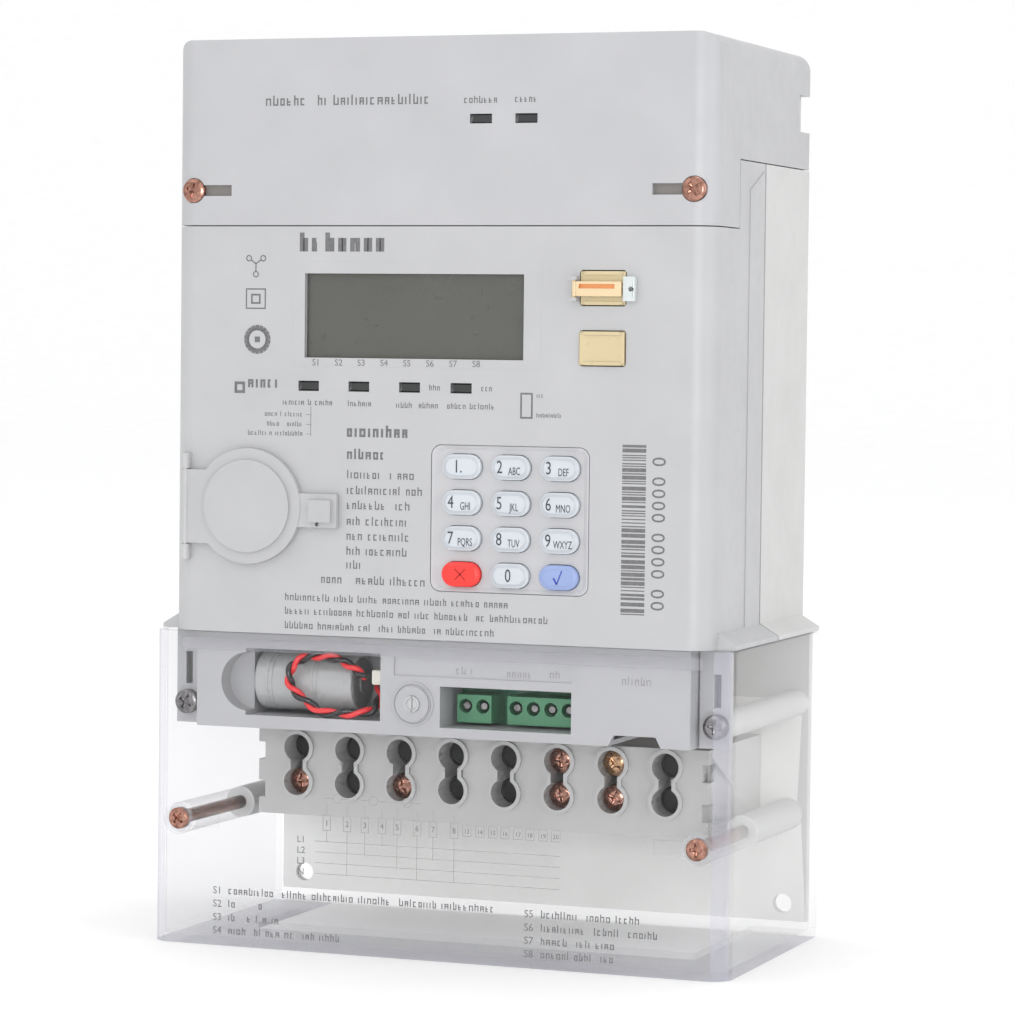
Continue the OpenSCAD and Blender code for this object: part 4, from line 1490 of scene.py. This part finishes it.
@dataclass
class MainTerminals:
    """Terminal block with eight pairs of screws, some backed out to the mouth.

    Attributes:
        pitch: Step from one pair of wells to the next.
        rows: Z of the lower and upper wells.
        raised: Column and row of each screw that is backed out.
        gilt: Column and row of the screw with a yellower finish.
        backed_out: Y of the head of a screw that is backed out.
        wound_down: Y of the head of a screw that is wound down.
    """

    pitch: float = 15.9
    rows: tuple[float, float] = (-83.4, -73.6)
    raised: tuple[tuple[int, int], ...] = ((0, 0), (2, 0), (5, 0), (5, 1), (6, 0), (6, 1))
    gilt: tuple[int, int] = (6, 1)
    backed_out: float = -49.6
    wound_down: float = -41.0

    def well_shade_discs(self) -> None:
        """Set a dark stepped disc in the foot of each well whose screw is wound down: painted shade that
        keeps those wells dark.
        """
        master = rod("shade_disc", (0, 0, 0), Axis.Y, 3.8, 0.9, 40)
        inset_and_push(master, lambda c, n: n.y < -0.9, 0.5, 0.0)
        inset_and_push(master, lambda c, n: n.y < -0.9 and abs(c.x) < 0.2, 0.15, 0.4)
        soften(master, 0.1, 2)
        deep = [well for well in self.wells() if well not in self.raised]
        made = copies(master, [(self.columns()[i], -44.6, self.rows[k]) for i, k in deep])
        place(dress(merge_into("well_painted_shade", made), BLACK_PART), "root", "black_part")

    def columns(self) -> list[float]:
        """List where the pairs of wells stand.

        Returns:
            X of each pair in millimetres.
        """
        return [(i - 3.5) * self.pitch for i in range(8)]

    def wells(self) -> list[tuple[int, int]]:
        """List every well.

        Returns:
            Column and row of each well.
        """
        return [(i, k) for i in range(8) for k in (0, 1)]

    def build(self) -> None:
        """Make and place the block, clamps and screws."""
        block = resurface("terminal_body", "terminal_block", 0.0)
        mid = sum(self.rows) / 2
        rims = [
            slab("rim", (x - 3.1, x + 3.1), (-53.2, -51.6), (mid - 2.6, mid + 2.6)) for x in self.columns()]
        carve(block, merge_into("rims", rims), mode="UNION")
        necks = [slab("neck", (x - 1.9, x + 1.9), (-54, -43), (mid - 2.4, mid + 2.4)) for x in self.columns()]
        carve(block, merge_into("necks", necks))
        mouths = [rod("mouth", (x, -52.5, z), Axis.Y, 3.9, 5, 48) for x in self.columns() for z in self.rows]
        carve(block, merge_into("mouths", mouths))
        dress(soften(block, 0.25, 2), BLOCK)
        place(block, "root", "terminal_grey", "terminal_block")
        coat_node("terminal_clamps", BRASS)
        master = Screw(3.6, 3.0, 2.35, 14.0, Drive.CROSS, 0.8).build("terminal_screw")
        shifts = [
            (self.columns()[i], self.backed_out if (i, k) in self.raised else self.wound_down, self.rows[k])
            for i, k in self.wells()]
        made = copies(master, shifts, [17 * i % 90 for i in range(16)])
        for screw, well in zip(made, self.wells()):
            # Screws wound down deep in their wells are near black: painted shade in the wells.
            kind = COPPER_SCREW if well in self.raised else SCREW_PAINTED_SHADE
            dress(screw, GOLD_SCREW if well == self.gilt else kind)
        self.well_shade_discs()
        piece = merge_into("terminal_screw_set", made)
        place(piece, "root", "screw_copper", "terminal_screws")
        steel = Screw(3.4, 2.6, 1.6, 27.0).build("fixing_screw")
        pair = copies(steel, [(-78.2, -80.0, -59.0), (78.2, -80.0, -59.0)], [30, 10])
        place(dress(merge_into("fixing_screws", pair), STEEL), "root", "steel", "front_cover_screws")


# ---------- terminal cover ----------


@dataclass
class TerminalCover:
    """Clear cover over the terminals with its screws and printed notes.

    Attributes:
        front_y: Y of the printed face.
    """

    front_y: float = -88.0

    def build(self) -> None:
        """Make the cover, its screws and its print."""
        cover = resurface("clear_lid", "terminal_cover", 0.3, 2)
        dress(cover, COVER, COVER_EDGE)
        for face in cover.data.polygons:
            c, n = face.center / MM, face.normal
            corner = abs(n.x) > 0.3 and n.y < -0.45 and abs(c.x) > 78.5 and c.y < -81
            rim = n.z > 0.8 and c.z > -39.5
            foot = n.z < -0.8 and c.z < -125
            face.material_index = 1 if corner or rim or foot else 0
        place(cover, "terminal_cover", "clear_cover", "terminal_cover")
        rail = slab("clear_rail", (-76.5, 76.5), (-85.9, -84.9), (-43.4, -40.2))
        inset_and_push(rail, lambda c, n: n.y < -0.9, 0.5, 0.25)
        soften(rail, 0.15, 2)
        # The top rail takes the lighter, more opaque finish: painted light along the top of the cover.
        place(dress(rail, COVER_RIM), "terminal_cover", "clear_cover")
        for x in (-COVER_SCREW_X, COVER_SCREW_X):
            ring = rod("screw_ring", (x, -88.1, COVER_SCREW_Z), Axis.Y, 4.5, 0.5, 48)
            inset_and_push(ring, lambda c, n: n.y < -0.9, 0.6, 0.0)
            carve(ring, rod("bore", (x, -88.0, COVER_SCREW_Z), Axis.Y, 3.3, 2, 40))
            soften(ring, 0.12, 2)
            place(dress(ring, COVER_RIM), "terminal_cover", "clear_cover")
        master = Screw(3.0, 2.5, 1.88, 52.0).build("cover_screw")
        heads = [(x, -88.5, COVER_SCREW_Z) for x in (-COVER_SCREW_X, COVER_SCREW_X)]
        pair = copies(master, heads, [40, 0])
        screws = dress(merge_into("clear_lid_screws", pair), COPPER_SCREW)
        place(screws, "terminal_cover", "screw_copper", "terminal_cover_screws")
        self.notes()

    def notes(self) -> None:
        """Print the wiring plan and the dummy legend."""
        fine = Print("cover_plan", self.front_y, LIGHT_INK, 0.03)
        bold = Print("cover_notes", self.front_y, COVER_INK, 0.03)
        numbers = (-30.9, -24.8, -19.5, -14.4, -9.9, -4.0, 0.7, 6.9)
        for index, x in enumerate(numbers):
            bold.text(str(index + 1), x, -90.6, 2.2)
            fine.frame((x - 1.2, x + 1.2), (-92.0, -87.6), 0.16)
            stop = (-95.2, -104.2, -98.2, -95.2, -101.2, -104.2, -98.2, -104.2)[index]
            fine.bar((x - 0.08, x + 0.08), (stop, -92.0))
            fine.bar((x - 0.08, x + 0.08), (-87.6, -84.5 - (index % 2)))
        for index, x in enumerate((10.6, 14.4, 18.2, 21.7, 25.5, 28.9, 32.7, 36.4)):
            bold.text(str(13 + index), x, -90.4, 1.7)
            fine.frame((x - 1.3, x + 1.3), (-91.2, -88.0), 0.12)
        for index, (label, z) in enumerate((("L1", -95.6), ("L2", -98.6), ("L3", -101.6), ("N", -104.6))):
            bold.text(label, -38.6, z, 2.6)
            fine.bar((-34.4, 37.6), (z + 0.5, z + 0.66))
        for x in (-27.8, -17.0, -7.0):
            fine.ring(x, -83.0, 1.3, 0.16)
            fine.bar((x - 4.0, x - 1.3), (-83.1, -82.9))
            fine.bar((x + 1.3, x + 4.0), (-83.1, -82.9))
        left = ((-111.5, 19.7, 41), (-115.2, -50.0, 42), (-119.0, -45.1, 43), (-122.7, -26.6, 44))
        right = ((-112.1, 60.9, 45), (-115.8, 65.8, 46), (-119.4, 53.7, 47), (-123.0, 54.6, 48))
        for number, (z, end, seed) in enumerate(left):
            bold.text(f"S{number + 1}", -65.4, z, 2.9, Align.LEFT)
            bold.greek((-60.6, end), z, 2.1, seed, words=(0.18, 0.3, 0.47, 0.62, 0.78))
        for number, (z, end, seed) in enumerate(right):
            bold.text(f"S{number + 5}", 27.5, z, 2.9, Align.LEFT)
            bold.greek((32.4, end), z, 2.1, seed, words=(0.4, 0.7))
        fine.done("terminal_cover", "clear_cover")
        bold.done("terminal_cover", "clear_cover")


# ---------- inside ----------


@dataclass
class Inside:
    """Boards, relays and other parts behind the shells.

    Attributes:
        finishes: Finish of each inner part, by node.
    """

    finishes: dict[str, Finish] = field(default_factory=lambda: {
        "main_board": BOARD, "board_screws": STEEL, "key_switches": BLACK_PART, "sounder": BLACK_PART,
        "power_board": BOARD, "power_parts": FILTER, "current_transformers": CORE, "relays": RELAY,
        "copper_straps": COPPER, "modem_board": BOARD, "modem_module": TIN, "modem_antenna": CERAMIC})

    def build(self) -> None:
        """Round the edges of every inner part and give it its finish."""
        slots = {item["node"]: item["material_slot"] for item in frame["record"]["subparts"]}
        for node, kind in self.finishes.items():
            piece = dress(resurface(f"{node}_made", node, 0.2, 2), kind)
            place(piece, "root", slots[node], node)


# ---------- markings ----------


@dataclass
class Markings:
    """Printed marks on the front cover and the modem cover."""

    def build(self) -> None:
        """Print every group of marks."""
        self.modem()
        self.front_lines()
        self.signs()
        self.strip()
        self.deck()

    def modem(self) -> None:
        """Print the dummy words on the modem cover."""
        words = Print("modem_marks", FRONT, GREY_INK)
        words.greek((-51.2, -2.2), 107.6, 2.8, 11, words=(0.27, 0.39))
        words.greek((7.5, 17.9), 107.7, 1.9, 12)
        words.greek((22.2, 29.0), 107.8, 1.9, 13)
        words.done("modem_cover", "shell")

    def front_lines(self) -> None:
        """Print the dummy lines on the front cover."""
        text = Print("front_marks", FRONT, GREY_INK)
        text.greek((-40.6, -11.7), 67.6, 5.2, 21, bold=1.75)
        text.greek((-26.0, -6.1), 16.9, 3.3, 22, bold=1.35)
        text.greek((-25.9, -12.5), 10.8, 2.9, 23, bold=1.25)
        rows = ((5.5, -6.0, (0.55, 0.7)), (1.2, -2.1, (0.68,)), (-2.9, -5.9, (0.62,)), (-7.3, -6.7, (0.25,)),
                (-11.4, -6.7, (0.25,)), (-15.5, -6.6, (0.25,)), (-19.3, -19.9, ()))
        for index, (z, end, gaps) in enumerate(rows):
            text.greek((-25.8, end), z, 2.35, 31 + index, words=gaps)
        text.greek((-33.3, -2.4), -23.5, 2.35, 51, words=(0.2, 0.28, 0.6))
        text.greek((-44.1, 23.3), -28.6, 2.0, 52, words=(0.2, 0.3, 0.42, 0.6, 0.72, 0.85))
        text.greek((-44.1, 34.8), -32.4, 2.0, 53, words=(0.1, 0.25, 0.42, 0.48, 0.55, 0.7, 0.76))
        text.greek((-44.1, 18.8), -36.4, 2.0, 54, words=(0.13, 0.33, 0.42, 0.52, 0.68, 0.75))
        text.greek((-45.3, -30.2), 25.4, 1.6, 55, words=(0.45, 0.6))
        text.greek((-25.8, -18.6), 25.3, 1.6, 56)
        text.greek((-11.5, 1.7), 25.1, 1.6, 57, words=(0.4,))
        text.greek((3.5, 18.0), 25.1, 1.6, 58, words=(0.38,))
        text.greek((-1.8, 2.2), 30.0, 1.6, 59)
        text.greek((13.4, 17.4), 30.0, 1.6, 60)
        for z, start, seed in ((22.2, -50.7, 61), (19.5, -50.0, 62), (16.9, -55.8, 63)):
            text.greek((start, -38.8), z, 1.35, seed, words=(0.35, 0.45))
            text.bar((-38.2, -36.8), (z + 0.5, z + 0.62))
        text.bar((-36.9, -36.76), (16.9, 25.0))
        labels = Print("display_marks", FRONT - 0.05, GREY_INK)
        for index in range(8):
            labels.text(f"S{index + 1}", -35.4 + index * 6.75, 36.35 + index * 0.02, 2.5)
        text.done("root", "shell")
        labels.done("root", "shell")

    def signs(self) -> None:
        """Print the class and phase signs and the plain emblems."""
        sign = Print("front_signs", FRONT, GREY_INK)
        hub = (-53.8, 64.2)
        for spot in ((-55.9, 65.7), (-51.6, 65.7), (-53.8, 61.3)):
            sign.ring(spot[0], spot[1], 0.75, 0.32)
            run = Vector((hub[0] - spot[0], hub[1] - spot[1]))
            run *= 1 - 0.85 / run.length
            sign.stroke(hub, (hub[0] - run.x, hub[1] - run.y), 0.34)
        sign.frame((-56.8, -50.7), (51.7, 57.4), 0.38)
        sign.frame((-55.2, -52.3), (53.1, 55.9), 0.5)
        sign.ring(-53.2, 43.3, 3.3, 1.5)
        sign.bar((-54.0, -52.4), (42.5, 44.1))
        sign.frame((-60.0, -56.8), (28.4, 31.6), 0.8)
        sign.greek((-55.9, -45.2), 30.0, 3.2, 71, bold=1.3)
        sign.frame((24.7, 28.3), (22.8, 29.8), 0.5)
        sign.greek((29.4, 31.8), 28.5, 1.2, 72)
        sign.greek((29.4, 36.5), 23.2, 1.2, 73)
        sign.done("root", "shell")

    def strip(self) -> None:
        """Print the dummy bar pattern and the row of noughts beside it."""
        bars = Print("bar_pattern", FRONT, GREY_INK)
        rng = random.Random(7)
        z = 16.4
        while z > -29.4:
            thick = rng.choice((0.32, 0.36, 0.7, 1.05))
            bars.bar((54.0, 60.7), (z - thick, z))
            z -= thick + rng.choice((0.3, 0.34, 0.62))
        bars.text("00 0000 0000 0", 66.2, -7.2, 5.5, turn=90, spread=1.2, squeeze=0.98)
        bars.done("root", "shell")

    def deck(self) -> None:
        """Print the dummy words on the deck and its label strip."""
        strip = Print("strip_marks", DECK + 0.5, LIGHT_INK)
        strip.greek((5.2, 11.0), -47.4, 2.1, 81, words=(0.55,))
        strip.greek((20.1, 28.7), -47.7, 2.1, 82)
        strip.greek((32.5, 37.9), -47.4, 2.1, 83, words=(0.6,))
        strip.done("root", "shell")
        plain = Print("deck_marks", DECK, LIGHT_INK)
        plain.greek((53.3, 63.2), -48.3, 2.3, 84)
        plain.done("root", "shell")


# ---------- studio ----------


@dataclass
class Studio:
    """Camera, soft lights, and a pale floor that sweeps up behind.

    Attributes:
        eye: Camera's place in metres.
        yaw: Turn from straight ahead in degrees.
        pitch: Tilt in degrees.
        roll: Roll in radians.
        lens: Focal length on a 36 mm film.
        floor_z: Height of the floor in metres.
    """

    eye: Point = (0.378826, -1.030358, 0.044005)
    yaw: float = 20.7727
    pitch: float = -2.5713
    roll: float = 0.01154
    lens: float = 132.51
    floor_z: float = -0.1261

    def build(self) -> None:
        """Make the camera, lights and floor."""
        bpy.context.scene.view_settings.view_transform = "Standard"
        self.camera()
        self.lights()
        self.floor()

    def camera(self) -> None:
        """Set the camera where it sees the front and the right side."""
        y, p = math.radians(self.yaw), math.radians(self.pitch)
        ahead = Vector((-math.sin(y) * math.cos(p), math.cos(y) * math.cos(p), math.sin(p)))
        right = Vector((math.cos(y), math.sin(y), 0.0))
        up = right.cross(ahead)
        side = math.cos(self.roll) * right + math.sin(self.roll) * up
        top = -math.sin(self.roll) * right + math.cos(self.roll) * up
        data = bpy.data.cameras.new("view")
        data.lens = self.lens
        data.sensor_width = 36.0
        data.clip_start = 0.01
        cam = bpy.data.objects.new("view", data)
        turn = Matrix((side, top, -ahead)).transposed().to_4x4()
        cam.matrix_world = Matrix.Translation(self.eye) @ turn
        bpy.context.collection.objects.link(cam)
        bpy.context.scene.camera = cam

    def area(self, name: str, at: Point, size: float, watts: float, tint: Point = (1, 1, 1)) -> None:
        """Hang a soft square light that faces the meter.

        Args:
            name: Name of the light.
            at: Its place in metres.
            size: Side in metres.
            watts: Power.
            tint: Colour.
        """
        data = bpy.data.lights.new(name, "AREA")
        data.size = size
        data.energy = watts
        data.color = tint
        lamp = bpy.data.objects.new(name, data)
        lamp.location = at
        lamp.rotation_euler = (Vector((0, -0.04, 0)) - Vector(at)).to_track_quat("-Z", "Y").to_euler()
        bpy.context.collection.objects.link(lamp)

    def lights(self) -> None:
        """Set a bright even sky and four soft lights."""
        world = bpy.data.worlds.new("studio")
        bpy.context.scene.world = world
        world.use_nodes = True
        nodes, links = world.node_tree.nodes, world.node_tree.links
        back = nodes["Background"]
        coords = nodes.new("ShaderNodeTexCoord")
        split = nodes.new("ShaderNodeSeparateXYZ")
        ramp = nodes.new("ShaderNodeMapRange")
        ramp.inputs["From Min"].default_value = -0.6
        ramp.inputs["From Max"].default_value = 0.9
        ramp.inputs["To Min"].default_value = 1.0
        ramp.inputs["To Max"].default_value = 1.05
        links.new(coords.outputs["Generated"], split.inputs[0])
        links.new(split.outputs["Z"], ramp.inputs["Value"])
        links.new(ramp.outputs["Result"], back.inputs["Strength"])
        back.inputs["Color"].default_value = (1.0, 1.0, 1.0, 1.0)
        self.area("key_light", (-0.9, -1.3, 1.1), 0.7, 2.5)
        self.area("low_light", (0.5, -1.6, 0.05), 0.6, 8.0)
        self.area("side_light", (1.5, -0.5, 0.5), 0.8, 3.5)
        self.area("top_light", (0.1, -0.1, 1.3), 0.7, 2.0)

    def floor(self) -> None:
        """Lay a pale floor and sweep it up far behind."""
        bpy.ops.mesh.primitive_plane_add(size=1, location=(0, 1.0, self.floor_z), scale=(1, 1, 1))
        floor = bpy.context.object
        floor.name = "studio_floor"
        floor.scale = (14, 10, 1)
        settle(floor)
        pick(floor)
        bpy.ops.object.mode_set(mode="EDIT")
        bpy.ops.mesh.select_mode(type="EDGE")
        bpy.ops.mesh.select_all(action="DESELECT")
        leave_edit()
        for edge in floor.data.edges:
            a, b = (floor.data.vertices[i].co for i in edge.vertices)
            edge.select = a.y > 5 and b.y > 5
        bpy.ops.object.mode_set(mode="EDIT")
        bpy.ops.mesh.extrude_region_move(TRANSFORM_OT_translate={"value": (0, 0, 7)})
        leave_edit()
        add_modifier(
            floor, "BEVEL", width=2.5, segments=10, limit_method="ANGLE", angle_limit=math.radians(40))
        pick(floor)
        bpy.ops.object.shade_smooth()
        paper = Moulded(
            "floor_paper", (0.96, 0.96, 0.962), rough=0.7, grain=900.0, depth_mm=0.03, mottle=0.01)
        dress(floor, paper)


def main() -> None:
    """Build every sub-assembly."""
    logging.basicConfig(level=logging.INFO, format="%(name)s: %(message)s")
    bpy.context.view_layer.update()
    groups = (Studio(), Shells(), Display(), Windows(), Keypad(), PushButtons(), OpticalPort(), Battery(),
              SignalTerminals(), MainTerminals(), TerminalCover(), Inside(), Markings())
    for group in groups:
        group.build()
        log.info("%s done", type(group).__name__)


if __name__ == "__main__":
    main()
